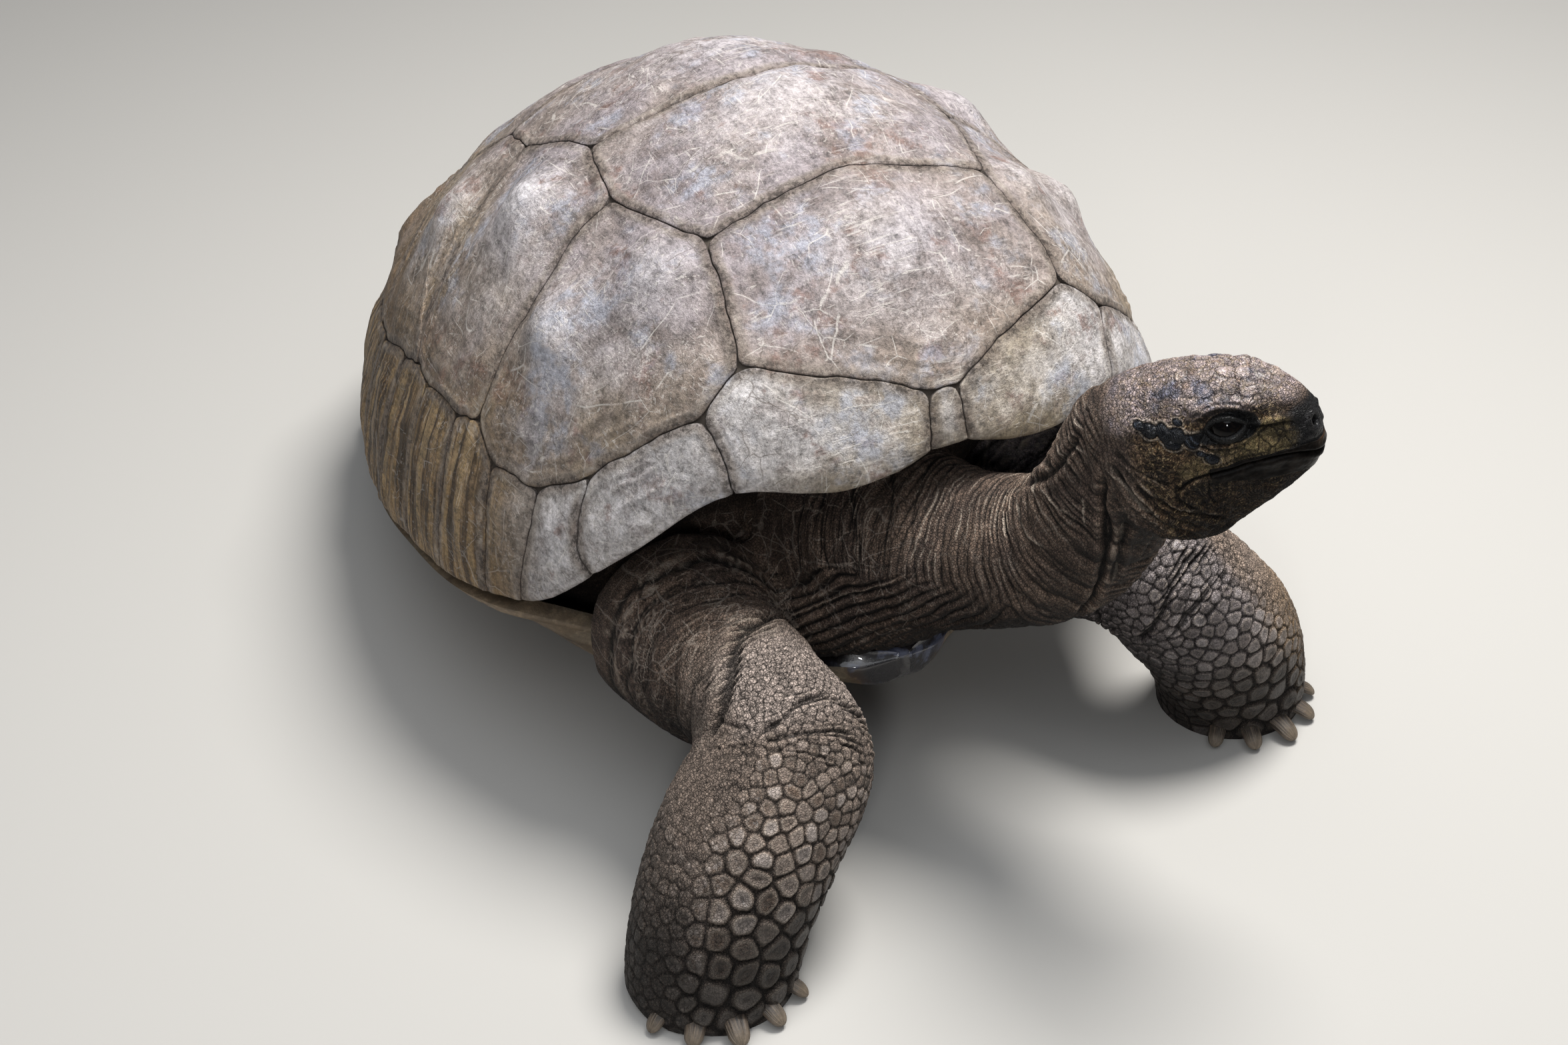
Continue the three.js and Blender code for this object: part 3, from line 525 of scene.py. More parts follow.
def horn_finish(name, plain, warm, worn, deep):
    """Weathered horn: mottled, scratched, pale where it is worn, dark and crusty at the seams, with
    painted highlights on the knobs and on the front of the rim.
    """
    f = Finish(name, Roughness=0.6)
    edge, share, flank, low_side_brown, low, knob_highlight = (
        f.attribute(value) for value in ("edge", "share", "flank", "low_side_brown", "low", "knob_highlight"))
    broad, patch = f.noise(0.13, 4), f.noise(0.05, 6, 0.62, offset=3.0)
    blotch = f.noise(0.028, 5, 0.65, offset=7.0)
    grain, speck = f.noise(0.010, 6, 0.7), f.noise(0.0030, 4, 0.8)
    fibre = f.noise(0.0055, 4, 0.75, f.shaken(0.01, 0.05, f.place((1, 0.22, 1), (0.3, 0.4, 0.7))))
    stain = f.noise(0.075, 5, 0.68, offset=16.0)
    blue = f.noise(0.09, 5, 0.6, offset=9.0)
    streak = f.node("ShaderNodeTexNoise", {}, {
        "Vector": f.node("ShaderNodeMapping", {}, {"Vector": f.attribute("around", "Vector"),
                                                   "Scale": (42, 3, 1)}).out(),
        "Scale": 1.0, "Detail": 5.0, "Roughness": 0.6}).out("Fac")
    wear = share.ramp(1.1, 0.1) * 0.8 + (patch - 0.5) * 1.6 + (grain - 0.5) * 0.8
    colour = f.mix((broad.ramp(0.4, 0.6) * 0.35 + low * 0.85).clamped(), tint(plain), tint(warm))
    colour = f.painted(
        colour,
        (wear.ramp(0.0, 1.2) * 0.55, worn),
        (patch.ramp(0.50, 0.38) * 0.33, deep),
        # Painted highlights on the knobs and on the front of the rim.
        ((knob_highlight * (0.2 + grain * 0.5)).clamped(), "c0bdc0"),
        (stain.ramp(0.55, 0.63) * blotch.ramp(0.36, 0.56) * 0.75, "6e554c"),
        (blue.ramp(0.50, 0.62) * blotch.ramp(0.40, 0.56) * 0.55 * (1 - low_side_brown), "9298a6"),
        (blotch.ramp(0.46, 0.34) * 0.3, "75625a"),
        (low_side_brown * (0.5 + broad * 0.9).clamped(), "705a40"),
        (flank * 0.6, "86683f"),
        (flank * streak.ramp(0.46, 0.60) * 0.7, "9c8560"),
        (flank * streak.ramp(0.52, 0.42) * 0.85, "35281a"))
    lightness = (1 + (grain - 0.5) * 1.8 + (speck - 0.5) * 2.1 + (fibre - 0.5) * 1.6
                 + (blotch - 0.5) * 0.9 + (patch - 0.5) * 0.7 - low_side_brown * 0.12)
    colour = f.scaled(colour, lightness.least(1.6).most(0.3))

    # Straight scratches, long curved ones, and fine crazing of the surface.
    scratch = f.strokes(
        lambda size, at: f.noise(size, 1, at=at).ramp(0.62, 0.70), (0.02, 0.08), 0.06, 5.0,
        (0.46, 0.62), [(0.0036, (1, 1, 0.03), (1.2, 0.3, 0.2)), (0.0032, (1, 0.04, 1), (0.5, 0.2, 0.9)),
                       (0.0040, (0.03, 1, 1), (0.2, 0.6, 0.4)), (0.0034, (0.04, 1, 1), (0.1, -0.5, 1.3))])
    arcs = f.strokes(
        lambda size, at: f.cracks(size, at).ramp(0.008, 0.002), (0.030, 0.09), 0.045, 20.0,
        (0.51, 0.62), [(0.085, (1, 0.45, 1), (0.3, 0.8, 0.2)), (0.070, (0.5, 1, 1), (1.1, 0.2, 0.7)),
                       (0.060, (1, 1, 0.5), (0.6, 0.5, 1.6)), (0.100, (1, 0.6, 0.6), (1.6, 1.0, 0.4))])
    crazing = f.cracks(0.036, f.shaken(0.012, 0.02)).ramp(0.018, 0.004)
    crazing = crazing * f.noise(0.08, 3, offset=12.0).ramp(0.5, 0.62)

    # The worn lip of each plate, and the dirt that cakes beside the seams.
    lip = edge.ramp(2.0, 5) * edge.ramp(14, 6) * grain.ramp(0.36, 0.6)
    crumble = f.noise(0.0075, 6, 0.8)
    crusty = edge.ramp(15, 3) * f.noise(0.05, 3, offset=14.0).ramp(0.30, 0.54)
    crust = (edge.ramp(1.5, 0.4) * crumble.ramp(0.36, 0.52)).most(crusty * crumble.ramp(0.47, 0.56) * 0.9)
    colour = f.painted(
        colour,
        (scratch * (0.4 - low_side_brown * 0.2), "d6cfc8"),
        (arcs * (0.5 - low_side_brown * 0.25), "dad4cd"),
        (crazing * 0.55, "54493f"),
        (lip * 0.5, "b3aa9e"),
        (crusty * 0.6, "75665a"),
        (crust * 0.85, "2c241f"))
    pits = f.noise(0.0020, 4, 0.85)
    relief = (grain * 1.1 + speck * 0.6 + pits * 0.3 + f.noise(0.028, 4) * 1.4
              + scratch * 0.12 + crusty * crumble * 1.6)
    f.feed(colour=colour, roughness=0.50 + grain * 0.3 - wear.ramp(0.4, 1.0) * 0.1,
           normal=f.bump(relief, 0.9, 0.0030))
    return f.material


HORNS = {"shell_horn": horn_finish("shell_horn", "887f81", "8a7a65", "b0aaad", "625750"),
         "rim_horn": horn_finish("rim_horn", "928d8c", "94866f", "b9b6b8", "64594c")}

WALL = np.linspace(0, np.pi, 7)[1:]           # round an edge from the outside to the inside
EDGE_INSETS = [0, 0.7, 1.5, 2.4, 3.5, 4.8, 6.3, 8, 10, 12.2, 14.6]    # points close to the edge, mm


def plate(name, corners, horn, middle_height):
    """A plate: its worn top, a wall round its edge, and a plain underside."""
    is_rim = horn == "rim_horn"
    fine, at_rim = seam_outline(corners, EDGE_POINTS[horn])
    outline = drawn_in(fine, at_rim)
    middle = outline.mean(0)
    count = len(outline)
    radius = np.linalg.norm(dome(*outline.T) - dome(*middle), axis=1).mean() / MM
    inset = np.concatenate([EDGE_INSETS, np.arange(18.0, radius * 0.97, POINT_EVERY)])
    shares = (1 - inset / radius)[::-1]
    grid = middle + (outline - middle) * shares[:, None, None]
    p, q = np.vstack([[middle], grid.reshape(-1, 2)]).T
    base = dome(p, q)
    seam = dome(*fine[~at_rim].T)
    edge = np.concatenate([np.sqrt(((part[:, None] - seam) ** 2).sum(-1)).min(1)
                           for part in np.array_split(base, 40)]) / MM
    share = np.concatenate([[0], np.repeat(shares, count)])
    height = shell_relief(base, p, q, share, edge, middle_height, is_rim)
    top = base + dome_normal(p, q) * height[:, None] * MM

    def depth_at(x, y):
        if not is_rim:
            return HORN
        return HORN + (RIM_THICK - 0.7 * FLARE * flare(x, y) - HORN) * ramp(np.hypot(x, y), 0.74, 0.84)

    # The edge: a straight step down into a seam, a round lip at the rim.
    a, b = outline.T
    lip = at_rim.astype(float)
    for _ in range(3):
        lip = 0.5 * lip + 0.25 * (np.roll(lip, 1) + np.roll(lip, -1))
    lip = np.where(at_rim, lip, 0)
    tip = height[-count:]
    thick = depth_at(a, b)
    down = dome(a * 0.985, b * 0.985) - dome(a * 0.96, b * 0.96)
    down /= np.linalg.norm(down, axis=1, keepdims=True)
    walls = []
    for angle in WALL:
        depth = -tip + (thick + tip) * (1 - math.cos(angle)) / 2
        walls.append(on_shell(a, b, depth) + down * (lip * LIP_ROUND * math.sin(angle))[:, None] * MM)
    unders = [on_shell(x, y, depth_at(x, y)) for x, y in
              ((middle + (outline - middle) * s).T for s in (0.9, 0.6, 0.3))]
    x, y = middle[:, None]
    points = np.vstack([top, *walls, *unders, on_shell(x, y, depth_at(x, y))])
    rows = len(shares) + len(walls) + len(unders)
    faces = (grid_faces(rows, count, 1) + fan(1, count, 0)
             + fan(1 + (rows - 1) * count, count, len(points) - 1))

    # What the material asks for at each point; the walls and the underside repeat the edge.
    angle = off_front(p, q)
    values = dict(
        edge=edge, share=share, flank=is_rim * ramp(angle, 54, 76),
        # Browner towards the bottom of the side plates.
        low_side_brown=ramp(base[:, 2] + 0.05 * noise(base, 0.12, 19), 0.47, 0.28) * ramp(angle, 50, 66),
        low=ramp(base[:, 2] + 0.06 * noise(base, 0.15, 20), 0.60, 0.36),
        # Painted highlights: on the tops of the knobs, and over the rim plates from the front round to
        # the side.
        knob_highlight=sum(height_ * np.exp(-(from_boss(base, ahead, left, radius_) / 0.8) ** 2) / 18
                 for ahead, left, height_, radius_ in BOSSES)
        + is_rim * 1.4 * ramp(angle, 14, 27) * ramp(angle, 66, 52),
        around=np.column_stack([np.arctan2(q, p), np.hypot(p, q), 0 * p]))
    pick = np.concatenate([np.arange(len(top)), np.resize(np.arange(len(top) - count, len(top)),
                                                          len(points) - len(top))])
    build(f"{name}_horn", points, faces, HORNS[horn], horn, [name],
          **{key: value[pick] for key, value in values.items()})


for name, (corners, horn, middle_height) in plates.items():
    plate(name, corners, horn, middle_height)

# ---------------------------------------------------------------- skin
# One hide over the trunk, neck, head, legs and tail. It is loose and ring-folded on the neck,
# pleated round the shoulders, and set with horny scales on the legs and the head.

# Stations along each limb and the chest: forward, left, up, half-width and half-depth, mm.
NECK = [[330, -20, 255, 125, 120], [450, -10, 292, 94, 92], [530, 30, 315, 80, 78],
        [600, 72, 352, 74, 73], [642, 92, 425, 66, 68], [662, 98, 490, 60, 64],
        [672, 100, 530, 52, 56]]
FORELEG_RIGHT = [[340, -225, 190, 106, 106], [440, -232, 206, 82, 88], [528, -226, 224, 71, 72],
                 [588, -225, 190, 87, 80], [620, -280, 135, 92, 82], [638, -318, 78, 89, 82],
                 [647, -336, 28, 86, 82], [650, -341, -14, 86, 82]]
FORELEG_LEFT = [[335, 195, 195, 115, 108], [440, 200, 222, 90, 90], [512, 230, 224, 79, 79],
                [538, 280, 168, 83, 80], [534, 325, 105, 85, 81], [524, 350, 45, 82, 80],
                [520, 356, -14, 81, 79]]
HIND_LEG_LEFT = [[-300, 190, 190, 98, 98], [-365, 240, 130, 80, 82], [-405, 264, 75, 70, 74],
                 [-420, 270, 28, 70, 76], [-423, 271, -14, 70, 78]]
HIND_LEG_RIGHT = [[a, -b, *rest] for a, b, *rest in HIND_LEG_LEFT]
TAIL = [[-470, 0, 135, 40, 36], [-530, 6, 105, 30, 27], [-575, 16, 72, 20, 18],
        [-600, 26, 50, 9, 8]]
CHEST = [[270, 0, 190, 215, 72], [372, -5, 189, 186, 61], [410, -8, 206, 150, 64],
         [452, -8, 247, 104, 60], [494, 2, 283, 76, 56]]
# How far out the trunk's flesh reaches at angles from straight ahead, as a share of the shell.
TRUNK_REACH = ([0, 48, 70, 112, 138, 180], [0.6, 0.6, 0.95, 0.95, 0.8, 0.86])
TRUNK_DEPTH = 33.0                # depth of the trunk's flesh under the shell's surface, mm
# The plastron's underside: places forward, and its height at each, mm.
BELLY = ([-500, -460, -360, -270, -225, -110, 0, 100, 200, 262, 305, 360, 422, 466],
         [76, 68, 58, 56, 56, 56, 58, 63, 68, 76, 84, 96, 116, 130])
# The skull: its seat in mm and its turn in degrees; then, along it, how far ahead, the half-width,
# the top and the bottom, mm.
SKULL_SEAT, SKULL_HEADING, SKULL_PITCH = (670, 65, 545), 44.0, 18.0
SKULL = [[-12, 38, 16, -72], [12, 50, 30, -112], [45, 55, 38, -132], [80, 54, 40, -133],
         [106, 49, 40, -119], [130, 43, 38, -105], [150, 37, 29, -94], [168, 31, 18, -83],
         [180, 25, 6, -73], [188, 20, -3, -64], [193, 12, -13, -54]]
EYE_AT, EYE_RADIUS = (120, 28, -10), 18.5      # ahead, left and high on the skull, mm
SOCKET = 8.5                      # how far from the eye's middle the skin lies behind the ball, mm
ARMPIT = (400, -150, 230)         # by the right foreleg, where slack skin has most pale threads, mm
COARSE, SIDES = 0.0060, 40        # size of the first voxels in metres; points round a limb
TUCK = 24.0                       # depth of the flesh under the shell near the rim, mm
OVER_PLASTRON = 14                # how far the flesh lies over the underside of the plastron, mm
# Half-width of the plastron with its bridges, at the places of BELLY, mm.
PLASTRON_HALF = [95, 150, 190, 215, 380, 420, 430, 430, 420, 400, 200, 160, 88, 34]
FINE = {"neck": 40, "foreleg_right": 70, "foreleg_left": 70, "hind_leg_left": 90,
        "hind_leg_right": 90, "tail": 30, "chest": 60}    # where the finer skin of each starts, mm

skull_axes = (Matrix.Rotation(math.radians(SKULL_HEADING), 3, "Z")
              @ Matrix.Rotation(math.radians(-SKULL_PITCH), 3, "X"))
skull_axes = np.array(skull_axes) @ np.array([[0, 1, 0], [-1, 0, 0], [0, 0, 1]])
skull_seat = place(*SKULL_SEAT)


def from_skull(points):
    """Row-frame metres from millimetres ahead, left and high on the skull."""
    return skull_seat + np.asarray(points, float) @ skull_axes.T * MM


def to_skull(points):
    return (points - skull_seat) @ skull_axes / MM


def flowing(rows, count):
    """A smooth curve through rows of numbers, as that many rows."""
    rows = np.array(rows, float)
    held = np.vstack([2 * rows[0] - rows[1], rows, 2 * rows[-1] - rows[-2]])
    u = np.linspace(0, len(rows) - 1, count)
    i = np.minimum(u.astype(int), len(rows) - 2)
    w = (u - i)[:, None]
    x0, x1, x2, x3 = held[i], held[i + 1], held[i + 2], held[i + 3]
    d0, d1, d2 = (np.maximum(np.linalg.norm(b - a, axis=1, keepdims=True), 1e-6) ** 0.5
                  for a, b in ((x0, x1), (x1, x2), (x2, x3)))
    t1 = ((x1 - x0) / d0 - (x2 - x0) / (d0 + d1) + (x2 - x1) / d1) * d1
    t2 = ((x2 - x1) / d1 - (x3 - x1) / (d1 + d2) + (x3 - x2) / d2) * d1
    return x1 + t1 * w + (3 * (x2 - x1) - 2 * t1 - t2) * w**2 + (2 * (x1 - x2) + t1 + t2) * w**3


class Limb:
    """An oval tube of flesh along a chain of stations, and where any point lies on it."""

    def __init__(self, chain, rings=90):
        chain = np.array(chain, float)
        self.path = flowing(np.stack(place(*chain[:, :3].T), 0), rings)
        self.size = flowing(chain[:, 3:], rings) * MM
        run = np.gradient(self.path, axis=0)
        self.run = run / np.linalg.norm(run, axis=1, keepdims=True)
        deep = np.cross(self.run, (1, 0, 0))
        self.deep = deep / np.linalg.norm(deep, axis=1, keepdims=True)
        self.wide = np.cross(self.deep, self.run)
        steps = np.linalg.norm(np.diff(self.path, axis=0), axis=1)
        self.length = np.concatenate([[0], np.cumsum(steps)]) / MM

    def rings(self):
        turn = np.linspace(0, 2 * np.pi, SIDES, endpoint=False)[:, None]
        return [c + np.cos(turn) * w * s[0] + np.sin(turn) * d * s[1]
                for c, w, d, s in zip(self.path, self.wide, self.deep, self.size)]

    def locate(self, points):
        """Distance along in mm, angle round it, and distance outside its surface in mm."""
        best = np.concatenate([((part[:, None] - self.path) ** 2).sum(-1).argmin(1)
                               for part in np.array_split(points, max(1, len(points) // 20000))])
        off = points - self.path[best]
        on = self.length[best] + np.einsum("ij,ij->i", off, self.run[best]) / MM
        x = np.einsum("ij,ij->i", off, self.wide[best])
        y = np.einsum("ij,ij->i", off, self.deep[best])
        angle = np.arctan2(y / self.size[best, 1], x / self.size[best, 0])
        radius = np.hypot(np.cos(angle) * self.size[best, 0], np.sin(angle) * self.size[best, 1])
        return on, angle, (np.hypot(x, y) - radius) / MM


limbs = {"neck": Limb(NECK), "foreleg_right": Limb(FORELEG_RIGHT, 110),
         "foreleg_left": Limb(FORELEG_LEFT, 110), "hind_leg_left": Limb(HIND_LEG_LEFT),
         "hind_leg_right": Limb(HIND_LEG_RIGHT), "tail": Limb(TAIL, 40), "chest": Limb(CHEST, 40)}


def skull_rings():
    """Loops of points along the skull."""
    turn = np.linspace(0, 2 * np.pi, SIDES, endpoint=False)
    loops = []
    for ahead, half, top, bottom in flowing(SKULL, 60):
        c, s = (np.sign(v) * np.abs(v) ** 0.85 for v in (np.cos(turn), np.sin(turn)))
        loops.append(from_skull(np.column_stack([
            np.full(SIDES, ahead), half * c, (top + bottom) / 2 + (top - bottom) / 2 * s])))
    return loops


def trunk_rings():
    """Loops of points under the shell, then down and in over the plastron."""
    turn = np.linspace(0, 2 * np.pi, SIDES * 2, endpoint=False)
    reach = mirrored(TRUNK_REACH, turn)
    loops = [on_shell(reach * s * np.cos(turn), reach * s * np.sin(turn), TRUNK_DEPTH)
             for s in (0.04, 0.25, 0.5, 0.75, 0.9, 1)]
    brim, axis = loops[-1], place(DOME["centre"], 0, 0)
    for draw, drop in ((0.98, 0.1), (0.96, 0.25), (0.66, 1)):
        floor_ = np.interp(GROUND_POINT[0] - brim[:, 1] / MM, *BELLY) + OVER_PLASTRON
        loop = axis + (brim - axis) * draw
        loop[:, 2] = brim[:, 2] + (floor_ * MM - brim[:, 2]) * drop
        loops.append(loop)
    return loops


def modified(mesh, kind, **settings):
    """The mesh as a modifier changes it."""
    holder = bpy.data.objects.new("holder", mesh)
    bpy.context.scene.collection.objects.link(holder)
    modifier = holder.modifiers.new(kind, kind)
    for key, value in settings.items():
        setattr(modifier, key, value)
    changed = bpy.data.meshes.new_from_object(
        holder.evaluated_get(bpy.context.evaluated_depsgraph_get()))
    bpy.data.objects.remove(holder)
    return changed


def merged_flesh():
    """The tubes, skull and trunk joined into one coarse body."""
    bodies = bmesh.new()
    for loops in [limb.rings() for limb in limbs.values()] + [skull_rings(), trunk_rings()]:
        made = [[bodies.verts.new(p) for p in loop] for loop in loops]
        for one, two in zip(made, made[1:]):
            for a, b, c, d in zip(one, one[1:] + one[:1], two[1:] + two[:1], two):
                bodies.faces.new((a, b, c, d))
        bodies.faces.new(made[0][::-1])
        bodies.faces.new(made[-1])
    bmesh.ops.recalc_face_normals(bodies, faces=bodies.faces)
    mesh = bpy.data.meshes.new("flesh")
    bodies.to_mesh(mesh)
    bodies.free()
    return modified(mesh, "REMESH", mode="VOXEL", voxel_size=COARSE)


def coordinates(mesh):
    points = np.empty(len(mesh.vertices) * 3, np.float32)
    mesh.vertices.foreach_get("co", points)
    return points.reshape(-1, 3).astype(float)


def normals(mesh):
    found = np.empty(len(mesh.vertices) * 3, np.float32)
    mesh.vertex_normals.foreach_get("vector", found)
    return found.reshape(-1, 3).astype(float)


def move_to(mesh, points):
    mesh.vertices.foreach_set("co", points.astype(np.float32).ravel())
    mesh.update()


def relaxed(mesh, values, times):
    """Values moved halfway to the mean of their neighbours', that many times."""
    ends = np.empty(len(mesh.edges) * 2, np.int32)
    mesh.edges.foreach_get("vertices", ends)
    a, b = ends.reshape(-1, 2).T
    size = len(values)
    count = np.maximum(np.bincount(a, minlength=size) + np.bincount(b, minlength=size), 1)
    for _ in range(times):
        flat = values.reshape(size, -1)
        total = np.stack([np.bincount(a, column[b], size) + np.bincount(b, column[a], size)
                          for column in flat.T], 1)
        values = values * 0.5 + (total / count[:, None]).reshape(values.shape) * 0.5
    return values


def divide(mesh, wanted):
    """Splits the faces whose points are all wanted into four."""
    work = bmesh.new()
    work.from_mesh(mesh)
    work.verts.ensure_lookup_table()
    edges = [e for e in work.edges if wanted[e.verts[0].index] and wanted[e.verts[1].index]]
    bmesh.ops.subdivide_edges(work, edges=edges, cuts=1, use_grid_fill=True)
    work.to_mesh(mesh)
    work.free()
    mesh.update()


def tree_of(spots):
    """A tree that finds the nearest of some spots."""
    tree = KDTree(len(spots))
    for i, spot in enumerate(spots):
        tree.insert(spot, i)
    tree.balance()
    return tree


def kept_inside(points):
    """The flesh kept clear of the horn, and over the plastron."""
    radius, turn = np.meshgrid(np.linspace(0.02, 1, 90), np.linspace(-np.pi, np.pi, 300))
    a, b = (radius * np.cos(turn)).ravel(), (radius * np.sin(turn)).ravel()
    wall, facing = on_shell(a, b, TUCK), dome_normal(a, b)
    tree = tree_of(wall)
    near = np.array([tree.find(p)[1] for p in points])
    over = np.einsum("ij,ij->i", points - wall[near], facing[near])
    free = (np.hypot(a, b)[near] > 0.985) | (np.linalg.norm(points - wall[near], axis=1) > 0.05)
    points = points - facing[near] * np.where(free, 0, np.maximum(over, 0))[:, None]
    forward = GROUND_POINT[0] - points[:, 1] / MM
    left = np.abs(points[:, 0] / MM + GROUND_POINT[1])
    half = np.interp(forward, BELLY[0], PLASTRON_HALF)
    floor_ = np.interp(forward, *BELLY) + OVER_PLASTRON
    covered = ((forward > BELLY[0][0]) & (forward < BELLY[0][-1] - 12) & (left < half - 8)
               & (points[:, 2] / MM > 40))
    points[:, 2] = np.where(covered, np.maximum(points[:, 2], floor_ * MM), points[:, 2])
    return points


def shown(points, limbs_wanted, spare):
    """Which points lie on the outside of the head or of a wanted limb, past where it shows."""
    on_head = to_skull(points)
    found = ((on_head[:, 0] > -40 + spare) & (np.abs(on_head[:, 1]) < 80)
             & (np.abs(on_head[:, 2] + 45) < 110))
    for name in limbs_wanted:
        on, _, outside = limbs[name].locate(points)
        found |= (on > FINE[name] + spare) & (np.abs(outside) < 14)
    return found


# The points lie closer together on what shows, and closest on the face.
flesh = merged_flesh()
move_to(flesh, relaxed(flesh, kept_inside(relaxed(flesh, coordinates(flesh), 6)), 2))
divide(flesh, shown(coordinates(flesh), FINE, 0))
move_to(flesh, relaxed(flesh, coordinates(flesh), 2))
divide(flesh, shown(coordinates(flesh), ("neck", "foreleg_right", "foreleg_left", "chest"), 28))
move_to(flesh, relaxed(flesh, coordinates(flesh), 3))
face = to_skull(coordinates(flesh))
divide(flesh, (face[:, 0] > 46) & (np.abs(face[:, 1]) < 66) & (np.abs(face[:, 2] + 42) < 92))
points = relaxed(flesh, coordinates(flesh), 2)


def wrinkle(u, gap, sharp=0.8):
    """Rounded ridges with narrow valleys between them, from 0 to 1."""
    return np.abs(np.sin(np.pi * u / gap)) ** sharp


def line_distance(x, y, line):
    """Distance in mm from points to a line of points, and how far along it they are, 0 to 1."""
    line = np.array(line, float)
    best, share = np.full(len(x), 1e9), np.zeros(len(x))
    for i, (a, b) in enumerate(zip(line, line[1:])):
        run = b - a
        t = np.clip(((x - a[0]) * run[0] + (y - a[1]) * run[1]) / (run @ run), 0, 1)
        d = np.hypot(x - a[0] - t * run[0], y - a[1] - t * run[1])
        nearer = d < best
        best, share = np.where(nearer, d, best), np.where(nearer, (i + t) / (len(line) - 1), share)
    return best, share


marks = {name: np.zeros(len(points)) for name in
         ("relief",               # height of the skin over the plain flesh, mm
          "relief_shading",               # how far it stands out of the skin around it, from -1 to 1, for painted shade and highlights
          "crease_shade",                # 1 where shade is painted into the lines between scales and into the folds
          "pale",                 # 1 on dry, worn crests
          "horny",                # 1 on the middles of large scales
          "shade")}               # lighter or darker scales, from -1 to 1


def mark(name, where, values):
    """Strengthens a mark at some of the points."""
    marks[name][where] = np.maximum(marks[name][where], values)


def ridged(where, share, ridges, height, dark, valley=(0.3, 0.06)):
    """Raises ridges in the skin and paints shade into the valleys between them."""
    marks["relief"][where] += share * height * (ridges - 0.6)
    mark("crease_shade", where, share * dark * ramp(ridges, *valley))


def fold(where, share, x, y, line, width, depth, dark, wander):
    """Presses a fold into the skin along a line, with a soft roll beside it and painted shade in it."""
    d, along = line_distance(x, y, line)
    d = np.abs(d + wander)
    share = share * ramp(along, 0, 0.12) * ramp(along, 1, 0.88)
    marks["relief"][where] += share * (0.4 * depth * hump(d, 2.3 * width, 1.2 * width)
                                       - depth * np.exp(-(d / width) ** 2))
    mark("crease_shade", where, share * dark * ramp(d, 1.1 * width, 0.3 * width))


def crest(where, share, x, y, line, width, height, wander):
    """Raises a thin pale crest along a line."""
    d, along = line_distance(x, y, line)
    d = np.abs(d + wander)
    share = share * ramp(along, 0, 0.2) * ramp(along, 1, 0.8)
    marks["relief"][where] += share * height * np.exp(-(d / width) ** 2)
    mark("pale", where, share * 0.9 * ramp(d, 0.6 * width, 0.15 * width))


def near(name, spare=0.13):
    """The points near a limb: which they are, how far along it, the angle, and how far outside."""
    lowest, highest = limbs[name].path.min(0) - spare, limbs[name].path.max(0) + spare
    found = np.flatnonzero(((points > lowest) & (points < highest)).all(1))
    return (found, points[found], *limbs[name].locate(points[found]))


head = to_skull(points)
head_share = (ramp(head[:, 0], -14, 22) * (np.abs(head[:, 1]) < 90)
              * (np.abs(head[:, 2] + 45) < 120))

# Chest: slack folds that hang from the neck down to the front lip of the plastron.
here, at, on, angle, outside = near("chest")
side = np.degrees(angle)
on_chest = (np.abs(outside) < 16) * ramp(on, 60, 100) * ramp(at[:, 2], 0.34, 0.28)
hang = wrinkle(side * 1.9 + 16 * noise(at, 0.09, 45) + 6 * noise(at, 0.035, 46), 21)
fine_hang = wrinkle(side * 1.6 + 0.3 * on + 14 * noise(at, 0.06, 47) + 4 * noise(at, 0.02, 48), 8.5)
ridged(here, on_chest, hang, 4.6, 0.9, (0.3, 0.05))
ridged(here, on_chest, fine_hang, 0.8, 0.2, (0.25, 0.05))
chest_share = np.zeros(len(points))
chest_share[here] = on_chest

# Neck: fine rings all round, broader rolls under them, pleats where it bends up to the head,
# long slack folds from the jaw down the throat, and thin dry crests on the nape.
NECK_ARC = 1.22                   # mm round the neck for each degree
RING_GAP = 8.8                    # mm from one ring to the next

here, at, on, angle, outside = near("neck")
on_neck = ((np.abs(outside) < 22) * ramp(on, 40, 90) * (1 - head_share[here])
           * (1 - 0.9 * chest_share[here]))
side = np.degrees(angle)
arc = side * NECK_ARC
lower = 0.5 - 0.5 * np.sin(angle)
slant = np.where(np.cos(angle) < 0, 0.22 * (np.abs(side) - 90) * ramp(on, 300, 400), 0)
lines = (on - slant + 9 * noise(at, 0.075, 21) + 3.2 * noise(at, 0.026, 22)
         + 1.3 * noise(at, 0.011, 23))
ring = wrinkle(lines, RING_GAP)
calm = 1 - 0.7 * ramp(on, 290, 330) * hump(side, -128, 24)
roll = wrinkle(on - slant + 17 * noise(at, 0.10, 24) + 5 * noise(at, 0.04, 25), 25, 0.7)
patchy = np.clip(0.75 + 1.1 * noise(at, 0.05, 26), 0.05, 1.4) * calm
marks["relief"][here] += on_neck * ((1.3 + 0.5 * lower) * patchy * 1.1 * (ring - 0.6)
                                    + (1.2 + 2.3 * lower) * (roll - 0.65))
strand = np.sin(np.round(lines / RING_GAP) * 2.4) * 0.5 + 0.5
mark("pale", here, on_neck * calm * ramp(ring, 0.94, 0.995) * ramp(strand, 0.3, 0.85)
     * ramp(noise(at, 0.03, 27), -0.35, 0.35) * (0.5 + 0.5 * ramp(np.sin(angle), -0.3, 0.8)))
# Painted shade between the rings.
mark("crease_shade", here, on_neck * ramp(ring, 0.42, 0.08) * (0.55 + 0.45 * patchy))
bend = on_neck * ramp(on, 270, 330) * ramp(on, 480, 430) * ramp(np.cos(angle - 2.0), 0.1, 0.9)
pleat = wrinkle(on + 7 * noise(at, 0.05, 28) + 0.10 * arc, 15.5, 0.9)
ridged(here, bend, pleat, 2.8, 0)
shake = 3.0 * noise(at, 0.03, 29)
